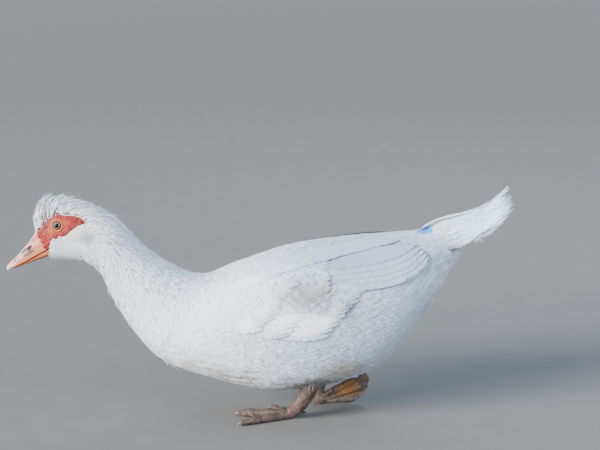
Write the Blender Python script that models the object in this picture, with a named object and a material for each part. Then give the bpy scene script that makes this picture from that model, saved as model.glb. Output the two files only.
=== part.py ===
# A white Muscovy duck hen, life size, standing low in a creeping walk.
#
# The duck faces -X with +Z up, and its left side is at -Y. The origin is on the floor, under the middle
# of its length. The body is one loft through a few named sections, parted across at the head, neck and
# tail. Feathers, lids and beads of bare skin are placed on that loft's surface by a station along it and
# an angle round it: station 0 is the bill's base and 14 the tail's stem, angle 0 is the widest level of
# the body and 90 degrees the middle of its back.

import math
import random

import bmesh
import bpy
from mathutils import Matrix, Vector

MM = 0.001
GAP = 0.35 * MM  # left between neighbouring pieces
LEFT, RIGHT = -1, 1

# Body sections, in mm: the top and bottom points of each in side view (x, z), and its half width.
BODY = {
    "bill base": ((-274.5, 238.0), (-256.5, 203.5), 13.5),
    "brow": ((-270.5, 263.0), (-246.0, 203.2), 21.0),
    "crown": ((-249.0, 278.5), (-230.0, 202.6), 25.2),
    "cheek": ((-211.0, 272.0), (-211.0, 200.5), 28.0),
    "nape": ((-175.0, 252.0), (-192.5, 185.0), 28.5),
    "mid neck": ((-144.0, 218.5), (-179.0, 154.5), 32.5),
    "neck base": ((-102.0, 190.5), (-151.0, 110.0), 46.0),
    "shoulder": ((-64.0, 180.5), (-117.5, 77.0), 62.0),
    "breast": ((-22.0, 196.0), (-63.0, 56.8), 75.0),
    "belly": ((40.0, 218.5), (18.0, 38.8), 81.0),
    "loins": ((110.0, 230.0), (94.0, 46.0), 77.0),
    "rump": ((172.0, 235.5), (160.0, 73.5), 62.0),
    "vent": ((212.0, 240.5), (212.0, 138.0), 40.0),
    "tail root": ((236.0, 251.5), (243.0, 189.0), 23.0),
    "tail stem": ((262.0, 260.0), (266.0, 225.0), 11.0),
}
SQUARENESS = 2.25  # 2 would make each section an ellipse
LOW_BELLY = 0.13  # how far below the middle a section is widest, as a share of its half height

# Where the body is parted, as stations along it.
HEAD_END = 3.7
NECK_END = 6.4
TORSO_END = 12.35
TAIL_END = 14.0
BODY_SIDES = 28
HEAD_STATIONS = (0.0, 0.35, 0.7, 1.05, 1.4, 1.8, 2.2, 2.7, 3.2, HEAD_END)
NECK_STATIONS = (HEAD_END, 4.2, 4.7, 5.2, 5.8, NECK_END)
TORSO_STATIONS = (NECK_END, 6.8, 7.2, 7.6, 8.0, 8.5, 9.0, 9.6, 10.2, 10.8, 11.3, 11.8, TORSO_END)
TAIL_STATIONS = (TORSO_END, 12.7, 13.1, 13.5, TAIL_END)

EYE_X, EYE_Z = -243.5 * MM, 250.5 * MM
EYE_RADIUS = 6.6 * MM
EYE_PROUD = 1.4 * MM  # how far the eyeball stands out of the face
LID_RADIUS, LID_THICKNESS = 5.6 * MM, 1.2 * MM

# Beads of bare skin between the bill and the eye and round its rim, in mm: x, z and radius in side view.
FACE_BEADS = (
    (-267.5, 232.0, 3.2),
    (-262.0, 225.0, 3.4),
    (-260.5, 237.5, 3.0),
    (-254.5, 231.5, 2.8),
    (-252.0, 259.0, 2.6),
    (-229.5, 258.0, 2.8),
    (-221.0, 252.5, 2.5),
)

# Rows of crest and nape locks: station, first and last angle in degrees, how many, length, width and
# how far the tips stand out, in mm.
CREST_ROWS = (
    (0.95, 46, 90, 3, 15, 9, 7.0),
    (1.45, 36, 90, 4, 17, 9, 6.5),
    (2.0, 36, 90, 3, 19, 11, 6.5),
    (2.55, 32, 90, 4, 19, 10, 6.5),
    (3.1, 38, 90, 3, 19, 12, 7.0),
)
NAPE_ROWS = (
    (3.84, 28, 90, 3, 20, 13, 7.0),
    (4.35, 34, 90, 3, 21, 13, 6.5),
    (4.85, 28, 90, 3, 21, 14, 5.5),
    (5.4, 38, 90, 3, 20, 13, 4.0),
)
LOCK_THICKNESS = 1.3 * MM
LOCK_SHAPE = ((0.0, 0.8, -0.28), (0.4, 1.0, 0.3), (0.72, 0.72, 0.66), (1.0, 0.14, 1.0))  # length, width, rise

# Bill sections, in mm: the ridge point and the edge of the mouth in side view, and the half width.
UPPER_BILL = (
    ((-274.5, 238.0), (-261.6, 213.3), 12.2),
    ((-281.0, 227.7), (-269.8, 209.5), 11.7),
    ((-288.9, 218.1), (-279.6, 205.0), 10.8),
    ((-298.2, 207.8), (-290.8, 199.8), 10.3),
    ((-305.0, 200.2), (-300.0, 195.6), 9.8),
    ((-309.3, 195.0), (-306.0, 192.6), 7.6),
    ((-311.2, 191.6), (-309.2, 190.4), 3.6),
)
LOWER_BILL = (
    ((-261.3, 212.7), (-256.9, 204.2), 10.9),
    ((-269.5, 208.9), (-265.6, 201.6), 10.4),
    ((-279.2, 204.4), (-276.4, 198.2), 9.6),
    ((-290.4, 199.2), (-288.2, 195.2), 8.8),
    ((-299.4, 195.0), (-298.0, 192.2), 7.6),
    ((-304.6, 192.0), (-303.6, 190.2), 4.2),
)
NAIL_CENTRE = Vector((-307.4, 0.0, 192.6)) * MM
NAIL_SIZE = Vector((4.4, 4.3, 4.6)) * MM
NOSTRIL_X, NOSTRIL_Y, NOSTRIL_Z = -282.6 * MM, 8.4 * MM, 220.4 * MM
NOSTRIL_SIZE = Vector((2.9, 2.4, 1.2)) * MM
BILL_SLOPE = math.radians(50.0)

# The folded wing's own flesh in side view, in mm: along x, the lowest and highest z of its outline.
WING_OUTLINE = (
    (-60.0, 148.0, 165.0),
    (-48.0, 140.0, 173.0),
    (-26.0, 133.0, 183.0),
    (4.0, 131.0, 195.0),
    (36.0, 128.5, 203.0),
    (70.0, 127.0, 210.0),
    (94.0, 142.0, 214.0),
    (118.0, 176.0, 217.0),
    (145.0, 193.0, 219.0),
    (184.0, 205.5, 215.0),
)
WING_RIM = 1.3 * MM  # how far its rim stands out from the body
WING_RISE = 3.0 * MM  # how far its middle stands out beyond its rim
WING_SINK = 3.0 * MM  # how deep it starts in the body, before the body is cut from it

# Tiers of wing feathers. For the first and the last feather of each: where the root and the tip lie, as
# (station, angle in degrees). Then how many there are, their width in mm, and how high their tips lie over
# the body in mm.
WING_TIERS = {
    "primary": (((10.15, 37.0), (11.85, 32.0)), ((10.15, 33.0), (12.13, 25.0)), 3, 15, 3.0),
    "secondary": (((8.7, 8.5), (9.86, 1.0)), ((9.2, 33.0), (10.5, 29.0)), 6, 21, 3.4),
    "tertial": (((9.5, 36.0), (12.03, 30.0)), ((9.3, 52.0), (11.6, 56.0)), 3, 24, 4.4),
    "greater covert": (((8.3, 12.0), (9.15, 4.5)), ((8.9, 38.0), (9.8, 33.0)), 5, 23, 4.8),
    "median covert": (((8.0, 16.0), (8.72, 10.0)), ((8.65, 43.0), (9.3, 40.0)), 4, 25, 5.8),
    "lesser covert": (((7.75, 21.0), (8.38, 16.0)), ((8.2, 48.0), (8.82, 47.0)), 4, 24, 6.4),
    "scapular": (((7.5, 54.0), (8.75, 52.0)), ((9.1, 70.0), (11.1, 69.0)), 4, 25, 3.4),
}
VANE_PROFILE = (0.65, 1.0, 0.9, 0.36)  # widths at even steps from root to tip
VANE_THICKNESS = 0.9 * MM
VANE_ROOT_LIFT = 1.0 * MM
VANE_CLEARANCE = 0.35 * MM  # between vanes that lie over one another
MOST_RISE = 1.9 * MM  # the most that a vane's edge is raised over its neighbour or sunk under it

# Half of the tail fan, in mm: roots and tips of its feathers, (x, y, z), from the middle outwards.
FAN_ROOTS = ((222, 2.5, 245), (230, 10.5, 242), (237, 17, 235), (242, 20.5, 227), (247, 22, 217))
FAN_TIPS = ((312.3, 3.5, 291), (312.5, 16.5, 279.5), (308.5, 28, 266.5), (299, 35, 252.5), (284, 36.5, 239))
FAN_FEATHERS = 7  # on each side
FAN_WIDTH = 20.0
FAN_EDGE_RISE = 1.25 * MM
FAN_PROFILE = ((0.0, 0.4), (0.48, 1.0), (0.85, 0.9), (1.0, 0.3))  # shares of a feather's length and width
FAN_SAG = 10.0  # how far the middle feathers hang below a straight line, in mm

# Coverts over and under the tail, for the middle and the outermost one: (station, angle) of its root, then
# (length, how far its tip stands out) in mm.
UPPER_COVERTS = (((12.55, 82.0), (40.0, 9.0)), ((12.6, 34.0), (28.0, 7.0)))
UNDER_COVERTS = (((12.7, -84.0), (34.0, 2.5)), ((12.8, -18.0), (32.0, 5.0)))
TAIL_COVERTS = 3  # of each on each side
TAIL_COVERT_WIDTH = 15.0 * MM

# The loose tuft of down under the breast: station and angle of its first lock, then mm.
KEEL_TUFT = (6.88, -86.0)
KEEL_LOCKS = 5
KEEL_LENGTH, KEEL_WIDTH, KEEL_STAND = 15.0, 8.0, 5.0

# Legs, in mm: the feathered thigh as (x, y, z, radius) down to the hock, then the bare shank, the ball of
# the foot, each toe's tip, and how far the web reaches along the toes and is drawn in between them, as
# shares. The right foot trails: it is bent back, so its sole faces the left.
LEGS = {
    LEFT: {
        "thigh": (
            (112, -52, 104, 14), (98, -54, 92, 20), (84, -50, 76, 17),
            (73, -43, 59, 12.5), (67, -36.6, 41.5, 10.8),
        ),
        "shank": (
            (66.6, -36.2, 41, 9.4), (63, -34, 34, 8.8), (55.5, -29.6, 21, 7),
            (48, -25, 11, 6.4), (44, -23, 6.5, 5.8),
        ),
        "ball": (44.0, -23.0, 6.0),
        "toes": ((-23.0, -54.0, 0.0), (-28.0, -14.0, 0.0), (15.0, 13.0, 0.0)),
        "web": (0.77, 0.12),
        "hind toe": ((48, -20, 11, 2.9), (55, -16, 8, 2.5), (60, -13, 5, 1.8), (64, -11, 2.6, 0.5)),
    },
    RIGHT: {
        "thigh": (
            (128, 47, 100, 14), (116, 50, 86, 20), (102, 46, 70, 16), (92, 38, 56, 12), (86.4, 34.6, 46, 10),
        ),
        "shank": (
            (86, 34.4, 45.5, 8.2), (84.5, 33.8, 36, 7), (82.5, 33, 23, 6),
            (80.5, 32.4, 11.5, 5.8), (80, 32, 6.6, 5.4),
        ),
        "ball": (80.0, 32.0, 6.0),
        "toes": ((140.0, 25.0, 45.0), (144.5, 31.0, 28.0), (132.0, 33.0, 6.5)),
        "web": (0.93, 0.0),
        "hind toe": ((84, 30, 12, 2.7), (90, 25.5, 15, 2.3), (95, 24.0, 18.5, 1.7), (98, 23.5, 22, 0.5)),
    },
}
BALL_SIZE = Vector((7.2, 6.6, 5.8)) * MM
TOE_RADII = (3.4, 3.7, 3.2)
TOE_SIDES = 8
TOE_SHARES = (0.0, 0.2, 0.4, 0.58, 0.76, 0.86, 0.93, 1.0)  # joints along a toe, and how thick it is at each
TOE_SWELL = (1.3, 1.0, 1.08, 0.86, 0.68, 0.54, 0.36, 0.1)
WEB_THICKNESS = 1.5 * MM
WEB_ROWS = 5

FLAT = math.radians(0.5)  # faces that meet at less than this are merged
SHARP_EDGE = math.radians(35)  # and edges flatter than this are shaded smooth
WHITE = (0.86, 0.88, 0.91, 1.0)
PINK_BILL = (0.80, 0.47, 0.36, 1.0)
PALE_EYE = (0.62, 0.60, 0.50, 1.0)
LEG_BUFF = (0.52, 0.38, 0.28, 1.0)


def clear_scene():
    for old in list(bpy.data.objects):
        bpy.data.objects.remove(old, do_unlink=True)


def make_material(name, colour, roughness):
    material = bpy.data.materials.new(name)
    material.use_nodes = True
    shader = material.node_tree.nodes["Principled BSDF"]
    shader.inputs["Base Color"].default_value = colour
    shader.inputs["Roughness"].default_value = roughness
    shader.inputs["Metallic"].default_value = 0.0
    return material


def make_collection(name):
    collection = bpy.data.collections.new(name)
    bpy.context.scene.collection.children.link(collection)
    return collection


def mesh_object(name, points, faces, collection):
    mesh = bpy.data.meshes.new(name)
    mesh.from_pydata([tuple(p) for p in points], [], faces)
    mesh.validate()
    shape = bmesh.new()
    shape.from_mesh(mesh)
    bmesh.ops.recalc_face_normals(shape, faces=shape.faces)
    shape.to_mesh(mesh)
    shape.free()
    made = bpy.data.objects.new(name, mesh)
    collection.objects.link(made)
    return made


def spline(values, position):
    """Catmull-Rom through tuples of numbers, at a position counted in tuples."""
    last = len(values) - 1
    i = min(int(position), last - 1)
    t = position - i
    before, a, b, after = (values[min(max(k, 0), last)] for k in (i - 1, i, i + 1, i + 2))
    return [
        0.5 * (2 * q + (r - p) * t + (2 * p - 5 * q + 4 * r - s) * t * t + (3 * q - p - 3 * r + s) * t**3)
        for p, q, r, s in zip(before, a, b, after)
    ]


def mixed(a, b, t):
    return a + (b - a) * t


SECTION_NUMBERS = [(*top, *bottom, half) for top, bottom, half in BODY.values()]


def section(station):
    """The centre, upward unit vector, half height and half width of the body at a station."""
    top_x, top_z, bottom_x, bottom_z, half = (MM * n for n in spline(SECTION_NUMBERS, station))
    top, bottom = Vector((top_x, 0, top_z)), Vector((bottom_x, 0, bottom_z))
    return (top + bottom) / 2, (top - bottom).normalized(), (top - bottom).length / 2, half


def body_point(station, angle, side=LEFT, grow=0.0):
    centre, up, high, half = section(station)
    across = math.copysign(abs(math.cos(angle)) ** (2 / SQUARENESS), math.cos(angle))
    rise = math.copysign(abs(math.sin(angle)) ** (2 / SQUARENESS), math.sin(angle))
    level = rise - LOW_BELLY * (1 - rise * rise)
    return centre + up * (level * (high + grow)) + Vector((0, side * across * (half + grow), 0))


def body_frame(station, angle, side=LEFT):
    """A body point, its outward normal, and how it moves for each unit of station and of angle."""
    step = 1e-3
    here = body_point(station, angle, side)
    along = (body_point(station + step, angle, side) - body_point(station - step, angle, side)) / (2 * step)
    upward = (body_point(station, angle + step, side) - body_point(station, angle - step, side)) / (2 * step)
    return here, along.cross(upward).normalized() * -side, along, upward


def moved(station, angle, side, move):
    """The station and angle reached by a small move along the body's surface."""
    _, _, along, upward = body_frame(station, angle, side)
    aa, ab, bb = along.dot(along), along.dot(upward), upward.dot(upward)
    ma, mb = move.dot(along), move.dot(upward)
    spread = aa * bb - ab * ab
    return station + (ma * bb - mb * ab) / spread, angle + (mb * aa - ma * ab) / spread


def seen_at(x, z):
    """The station and angle of the body's surface at a place in side view."""
    low, high = 0.0, len(BODY) - 1.0
    for _ in range(40):
        middle = (low + high) / 2
        centre, up, _, _ = section(middle)
        if (Vector((x, 0, z)) - centre).dot(Vector((up.z, 0, -up.x))) > 0:
            low = middle
        else:
            high = middle
    centre, up, tall, _ = section(low)
    level = max(-0.99, min(0.99, (Vector((x, 0, z)) - centre).dot(up) / tall))
    rise = (-1 + math.sqrt(1 + 4 * LOW_BELLY * (LOW_BELLY + level))) / (2 * LOW_BELLY)
    return low, math.asin(math.copysign(abs(max(-1, min(1, rise))) ** (SQUARENESS / 2), rise))


def lifted(station, angle, lift, side=LEFT):
    here, normal, _, _ = body_frame(station, angle, side)
    return here + normal * lift


def loft(name, rings, collection):
    """A closed skin over rings of equal length, with a flat cap at each end.

    Its sides are split alike in every loft, so that one grown by the gap clears the one it was grown from.
    """
    count = len(rings[0])
    points = [p for ring in rings for p in ring]
    faces = []
    for row in range(len(rings) - 1):
        for k in range(count):
            a, b = row * count + k, row * count + (k + 1) % count
            faces += [(a, b, b + count), (a, b + count, a + count)]
    faces.append(tuple(range(count)))
    faces.append(tuple(range(len(points) - count, len(points))))
    return mesh_object(name, points, faces, collection)


def body_ring(station, grow=0.0, shift=0.0):
    """Points round one section, moved along the section's own normal by shift."""
    _, up, _, _ = section(station)
    ahead = Vector((up.z, 0, -up.x)) * shift
    turns = [2 * math.pi * (k + 0.5) / BODY_SIDES for k in range(BODY_SIDES)]
    return [body_point(station, turn, LEFT, grow) + ahead for turn in turns]


def body_length(name, stations, collection, grow=0.0):
    """One length of the body. Its first end stands back by the gap from the piece in front."""
    rings = [body_ring(stations[0], grow, 0.0 if grow else GAP)]
    rings += [body_ring(station, grow) for station in stations[1:]]
    return loft(name, rings, collection)


def apply_modifier(target, modifier):
    bpy.context.view_layer.update()
    graph = bpy.context.evaluated_depsgraph_get()
    result = bpy.data.meshes.new_from_object(target.evaluated_get(graph))
    target.modifiers.remove(modifier)
    target.data = result


def tidy(target):
    """Drops every closed surface of a mesh but the one that reaches furthest, and merges its flat faces."""
    shape = bmesh.new()
    shape.from_mesh(target.data)
    unseen, surfaces = set(shape.faces), []
    while unseen:
        stack, surface = [unseen.pop()], []
        while stack:
            face = stack.pop()
            surface.append(face)
            for edge in face.edges:
                for other in edge.link_faces:
                    if other in unseen:
                        unseen.remove(other)
                        stack.append(other)
        surfaces.append(surface)

    def reach(surface):
        corners = [v.co for face in surface for v in face.verts]
        return math.prod(max(c[k] for c in corners) - min(c[k] for c in corners) for k in range(3))

    surfaces.sort(key=reach)
    drop = [face for surface in surfaces[:-1] for face in surface]
    bmesh.ops.delete(shape, geom=drop, context="FACES")
    bmesh.ops.dissolve_limit(shape, angle_limit=FLAT, verts=shape.verts, edges=shape.edges)
    shape.to_mesh(target.data)
    shape.free()


def cut(target, cutters, solver="EXACT"):
    for cutter in cutters:
        modifier = target.modifiers.new("cut", "BOOLEAN")
        modifier.operation = "DIFFERENCE"
        modifier.object = cutter
        modifier.solver = solver
        apply_modifier(target, modifier)
    tidy(target)


def join(target, pieces):
    """Fuses a collection of closed pieces into the target by one union."""
    modifier = target.modifiers.new("join", "BOOLEAN")
    modifier.operation = "UNION"
    modifier.operand_type = "COLLECTION"
    modifier.collection = pieces
    modifier.solver = "MANIFOLD"
    apply_modifier(target, modifier)
    for piece in list(pieces.objects):
        bpy.data.objects.remove(piece, do_unlink=True)
    bpy.data.collections.remove(pieces)
    tidy(target)


def ball(name, centre, size, collection, rings=8, turn=0.0):
    """A sphere stretched to three half sizes and turned about the Y axis."""
    shape = bmesh.new()
    bmesh.ops.create_uvsphere(shape, u_segments=2 * rings - 2, v_segments=rings, radius=1.0)
    place = Matrix.Translation(centre) @ Matrix.Rotation(turn, 4, "Y") @ Matrix.Diagonal((*size, 1.0))
    bmesh.ops.transform(shape, matrix=place, verts=shape.verts)
    mesh = bpy.data.meshes.new(name)
    shape.to_mesh(mesh)
    shape.free()
    made = bpy.data.objects.new(name, mesh)
    collection.objects.link(made)
    return made


def lid_ring(centre, axis, collection):
    bpy.ops.mesh.primitive_torus_add(
        major_segments=14, minor_segments=5, major_radius=LID_RADIUS, minor_radius=LID_THICKNESS
    )
    ring = bpy.context.active_object
    ring.data.transform(Matrix.Translation(centre) @ axis.to_track_quat("Z", "Y").to_matrix().to_4x4())
    for home in list(ring.users_collection):
        home.objects.unlink(ring)
    collection.objects.link(ring)


def tube(name, path, radii, collection, sides=TOE_SIDES):
    """A round bar along a path with a radius at each point, and a flat side turned down."""
    rings = []
    for i, centre in enumerate(path):
        heading = (path[min(i + 1, len(path) - 1)] - path[max(i - 1, 0)]).normalized()
        level = Vector((0, 0, 1)).cross(heading)
        level = level.normalized() if level.length > 0.05 else Vector((0, 1, 0))
        rise = heading.cross(level).normalized()
        turns = [2 * math.pi * (k + 0.5) / sides for k in range(sides)]
        rings.append([centre + (level * math.cos(a) + rise * math.sin(a)) * radii[i] for a in turns])
    return loft(name, rings, collection)


def blade(name, rows, thicknesses, normals, collection):
    """A thin vane over rows of points, split into triangles alike on both faces."""
    across = len(rows[0])
    points = [p + n * t / 2 for row, t, n in zip(rows, thicknesses, normals) for p in row]
    under = len(points)
    points += [p - n * t / 2 for row, t, n in zip(rows, thicknesses, normals) for p in row]
    faces = []
    for i in range(len(rows) - 1):
        for j in range(across - 1):
            a = i * across + j
            b, c, d = a + 1, a + across + 1, a + across
            faces += [(a, b, c), (a, c, d)]
            faces += [(a + under, c + under, b + under), (a + under, d + under, c + under)]
        for a, b in ((i * across, (i + 1) * across), ((i + 2) * across - 1, (i + 1) * across - 1)):
            faces += [(a, b, b + under), (a, b + under, a + under)]
    for first in (0, (len(rows) - 1) * across):
        for j in range(first, first + across - 1):
            faces += [(j, j + 1, j + 1 + under), (j, j + 1 + under, j + under)]
    return mesh_object(name, points, faces, collection)


def vane_on_body(name, side, root, tip, width, lifts, edge_rise, collection):
    """A feather laid along the body from root to tip, given as (station, angle).

    Its upper edge lies lower than its lower edge by twice edge_rise, so that neighbours clear each other.
    """
    rows, normals, thicknesses = [], [], []
    last = len(VANE_PROFILE) - 1
    for k, share in enumerate(VANE_PROFILE):
        t = k / last
        station, angle = mixed(root[0], tip[0], t), mixed(root[1], tip[1], t)
        _, normal, along, upward = body_frame(station, angle, side)
        heading = (along * (tip[0] - root[0]) + upward * (tip[1] - root[1])).normalized()
        across = normal.cross(heading).normalized() * side  # towards the back's middle
        lift = mixed(lifts[0], lifts[1], min(1.0, 1.6 * t))
        row = []
        for edge in (-1, 1):
            place = moved(station, angle, side, across * (edge * width * share / 2))
            row.append(lifted(*place, lift - edge * edge_rise * share, side))
        rows.append(row)
        normals.append(normal)
        thicknesses.append(VANE_THICKNESS * mixed(1.15, 0.8, t))
    blade(name, rows, thicknesses, normals, collection)


def vane_in_air(name, spine, across, widths, thickness, edge_rise, collection):
    """A feather along free points. across points towards the edge that lies under its neighbour."""
    rows, normals = [], []
    for i, centre in enumerate(spine):
        heading = (spine[min(i + 1, len(spine) - 1)] - spine[max(i - 1, 0)]).normalized()
        level = (across - heading * across.dot(heading)).normalized()
        normal = heading.cross(level).normalized()
        if normal.dot(Vector((0, 0, 1))) < 0:
            normal.negate()
        half = widths[i] / 2
        rise = edge_rise * widths[i] / max(widths)
        rows.append([centre + level * half - normal * rise, centre - level * half + normal * rise])
        normals.append(normal)
    blade(name, rows, [thickness] * len(rows), normals, collection)


def lock(name, side, root, length, width, stand, lean, collection):
    """A flat tapered lock that springs from the body, bends back along it and stands out at its tip."""
    station, angle = root
    rows, normals, thicknesses = [], [], []
    _, _, along, upward = body_frame(station, angle, side)
    heading = (along.normalized() - upward.normalized() * lean).normalized()
    for t, share, lift in LOCK_SHAPE:
        place = moved(station, angle, side, heading * (length * t))
        here, normal, _, _ = body_frame(*place, side)
        here = here + normal * (stand * lift)
        across = normal.cross(heading).normalized() * (width * share / 2)
        rows.append([here - across, here + across])
        normals.append(normal)
        thicknesses.append(LOCK_THICKNESS * mixed(1.2, 0.45, t))
    blade(name, rows, thicknesses, normals, collection)


def lock_rows(rows, last_station, chance, collection):
    """Rows of locks on both sides and on the middle line. None reaches past last_station."""
    for station, first, last, count, length, width, stand in rows:
        for side in (LEFT, RIGHT):
            for i in range(count):
                angle = math.radians(mixed(first, last, i / (count - 1)))
                if i == count - 1 and side == RIGHT:
                    continue  # the middle lock was made with the left side
                start = station + chance.uniform(-0.05, 0.05)
                _, _, along, _ = body_frame(start, angle, side)
                long = min(length * MM * chance.uniform(0.85, 1.1), (last_station - start) * along.length)
                lean = 0.0 if i == count - 1 else chance.uniform(0.0, 0.3)
                rise = stand * MM * chance.uniform(0.75, 1.1)
                lock("lock", side, (start, angle), long, width * MM, rise, lean, collection)


def eye_centre(side):
    here, normal, _, _ = body_frame(*seen_at(EYE_X, EYE_Z), side)
    return here - normal * (EYE_RADIUS - EYE_PROUD), here, normal


def make_head(parts, cutters, material, chance):
    head = body_length("head", HEAD_STATIONS, parts)
    pieces = make_collection("head pieces")
    for side in (LEFT, RIGHT):
        _, here, normal = eye_centre(side)
        lid_ring(here - normal * 0.2 * MM, normal, pieces)
        for x, z, radius in FACE_BEADS:
            here, normal, _, _ = body_frame(*seen_at(x * MM, z * MM), side)
            ball("bead", here - normal * 0.45 * radius * MM, Vector((1, 1, 1)) * radius * MM, pieces, 4)
    lock_rows(CREST_ROWS, 3.62, chance, pieces)
    join(head, pieces)
    size = Vector((1, 1, 1)) * (EYE_RADIUS + GAP)
    sockets = [ball("socket", eye_centre(side)[0], size, cutters, 7) for side in (LEFT, RIGHT)]
    cut(head, sockets, "MANIFOLD")
    head.data.materials.append(material)


def make_neck(parts, material, chance):
    neck = body_length("neck", NECK_STATIONS, parts)
    pieces = make_collection("nape locks")
    lock_rows(NAPE_ROWS, 6.3, chance, pieces)
    join(neck, pieces)
    neck.data.materials.append(material)


def make_torso(parts, material):
    torso = body_length("torso", TORSO_STATIONS, parts)
    pieces = make_collection("keel tuft")
    for i in range(KEEL_LOCKS):
        side = (LEFT, RIGHT)[i % 2]
        root = (KEEL_TUFT[0] + 0.05 * i, math.radians(KEEL_TUFT[1] + 5 * (i // 2)))
        lock("down", side, root, (KEEL_LENGTH - i) * MM, KEEL_WIDTH * MM, KEEL_STAND * MM, 0.0, pieces)
    join(torso, pieces)
    torso.data.materials.append(material)


def make_eyes(parts, material):
    for side, name in ((LEFT, "eye_left"), (RIGHT, "eye_right")):
        eye = ball(name, eye_centre(side)[0], Vector((1, 1, 1)) * EYE_RADIUS, parts, 7)
        eye.data.materials.append(material)


def bill_ring(ridge, edge, half, arched):
    """One section of the bill: an arch over a flat floor, or a keel under a flat roof."""
    top, floor = Vector((ridge[0], 0, ridge[1])) * MM, Vector((edge[0], 0, edge[1])) * MM
    tall = top - floor
    ring = []
    for k in range(13):
        angle = math.pi * k / 12
        share = math.sin(angle) ** 0.8
        wide = math.copysign(abs(math.cos(angle)) ** 0.8, math.cos(angle)) * half * MM
        centre = floor + tall * share if arched else top - tall * share
        ring.append(centre + Vector((0, wide, 0)))
    return ring


def make_bill(parts, cutters, material):
    face, up, _, _ = section(0.0)
    ahead = Vector((up.z, 0, -up.x))
    upper_rings = [bill_ring(*numbers, True) for numbers in UPPER_BILL]
    lower_rings = [bill_ring(*numbers, False) for numbers in LOWER_BILL]
    for rings in (upper_rings, lower_rings):  # the first ring lies flat against the face
        rings[0] = [p - ahead * ((p - face).dot(ahead)) for p in rings[0]]
    upper = loft("bill_upper", upper_rings, parts)
    pieces = make_collection("bill pieces")
    ball("nail", NAIL_CENTRE, NAIL_SIZE, pieces, turn=-BILL_SLOPE)
    join(upper, pieces)
    nostrils = []
    for side in (LEFT, RIGHT):
        place = Vector((NOSTRIL_X, side * NOSTRIL_Y, NOSTRIL_Z))
        nostrils.append(ball("nostril", place, NOSTRIL_SIZE, cutters, 6, -BILL_SLOPE))
    cut(upper, nostrils)
    lower = loft("bill_lower", lower_rings, parts)
    room = NAIL_SIZE + Vector((1, 1, 1)) * GAP
    cut(lower, [ball("nail room", NAIL_CENTRE, room, cutters, turn=-BILL_SLOPE)])
    for piece in (upper, lower):
        piece.data.materials.append(material)


def wing_flesh(side, collection):
    """The folded wing without its feathers: a slab that hugs the body."""
    rings = []
    for x, low, high in WING_OUTLINE:
        outer, inner = [], []
        for k in range(6):
            v = k / 5
            station, angle = seen_at(x * MM, mixed(low, high, v) * MM)
            outer.append(lifted(station, angle, WING_RIM + WING_RISE * math.sin(math.pi * v), side))
            inner.append(lifted(station, angle, -WING_SINK, side))
        rings.append(outer + inner[::-1])
    return loft("wing_left" if side == LEFT else "wing_right", rings, collection)


def make_wing(side, parts, body_room, material):
    wing = wing_flesh(side, parts)
    pieces = make_collection("wing feathers")
    for name, (first, last, count, width, tip_lift) in WING_TIERS.items():
        reach = body_frame(last[1][0], math.radians(last[1][1]), side)[0]
        start = body_frame(first[1][0], math.radians(first[1][1]), side)[0]
        spacing = (reach - start).length / (count - 1)
        rise = (VANE_THICKNESS + VANE_CLEARANCE) * width * MM / 2 / spacing
        for i in range(count):
            t = i / (count - 1)
            root, tip = (
                (mixed(first[end][0], last[end][0], t), math.radians(mixed(first[end][1], last[end][1], t)))
                for end in (0, 1)
            )
            lifts = (VANE_ROOT_LIFT, tip_lift * MM)
            vane_on_body(name, side, root, tip, width * MM, lifts, min(rise, MOST_RISE), pieces)
    join(wing, pieces)
    cut(wing, [body_room], "MANIFOLD")
    wing.data.materials.append(material)


def fan_feather(share, side):
    """Root and tip of a tail feather, at a share of the way from the middle to the outermost."""
    ends = []
    for numbers in (FAN_ROOTS, FAN_TIPS):
        x, y, z = spline(numbers, share * (len(numbers) - 1))
        ends.append(Vector((x, side * y, z)) * MM)
    return ends


def make_tail(parts, material):
    tail = body_length("tail", TAIL_STATIONS, parts)
    pieces = make_collection("tail feathers")
    for side in (LEFT, RIGHT):
        for i in range(FAN_FEATHERS):
            share = i / (FAN_FEATHERS - 1)
            root, tip = fan_feather(share, side)
            inner, outer = (fan_feather(min(1.0, max(0.0, share + d)), side)[1] for d in (-0.1, 0.1))
            across = (inner - outer).normalized()
            sag = Vector((0, 0, -FAN_SAG * MM * (1 - 0.8 * share)))
            spine = [root.lerp(tip, t) + sag * (6.75 * t * t * (1 - t)) for t, _ in FAN_PROFILE]
            widths = [FAN_WIDTH * MM * w for _, w in FAN_PROFILE]
            vane_in_air("rectrix", spine, across, widths, VANE_THICKNESS, FAN_EDGE_RISE, pieces)
    for (middle, reach), (outmost, short) in (UPPER_COVERTS, UNDER_COVERTS):
        for side in (LEFT, RIGHT):
            for i in range(TAIL_COVERTS):
                t = i / (TAIL_COVERTS - 1)
                root = (mixed(middle[0], outmost[0], t), math.radians(mixed(middle[1], outmost[1], t)))
                length, stand = mixed(reach[0], short[0], t) * MM, mixed(reach[1], short[1], t) * MM
                lock("tail covert", side, root, length, TAIL_COVERT_WIDTH, stand, 0.0, pieces)
    join(tail, pieces)
    tail.data.materials.append(material)


def toe_path(start, tip, radius):
    """Points and radii from the ball of the foot to the end of the claw, lying on the floor if the tip does."""
    flat = math.cos(math.pi / TOE_SIDES)
    path = [start.lerp(tip, share) for share in TOE_SHARES]
    if tip.z == 0:
        for point, size in zip(path, TOE_SWELL):
            point.z = radius * size * flat
    return path, [radius * size for size in TOE_SWELL]


def along_toe(path, share):
    """The point at a share of a toe's length."""
    k = max(i for i, joint in enumerate(TOE_SHARES[:-1]) if joint <= share)
    return path[k].lerp(path[k + 1], (share - TOE_SHARES[k]) / (TOE_SHARES[k + 1] - TOE_SHARES[k]))


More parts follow.
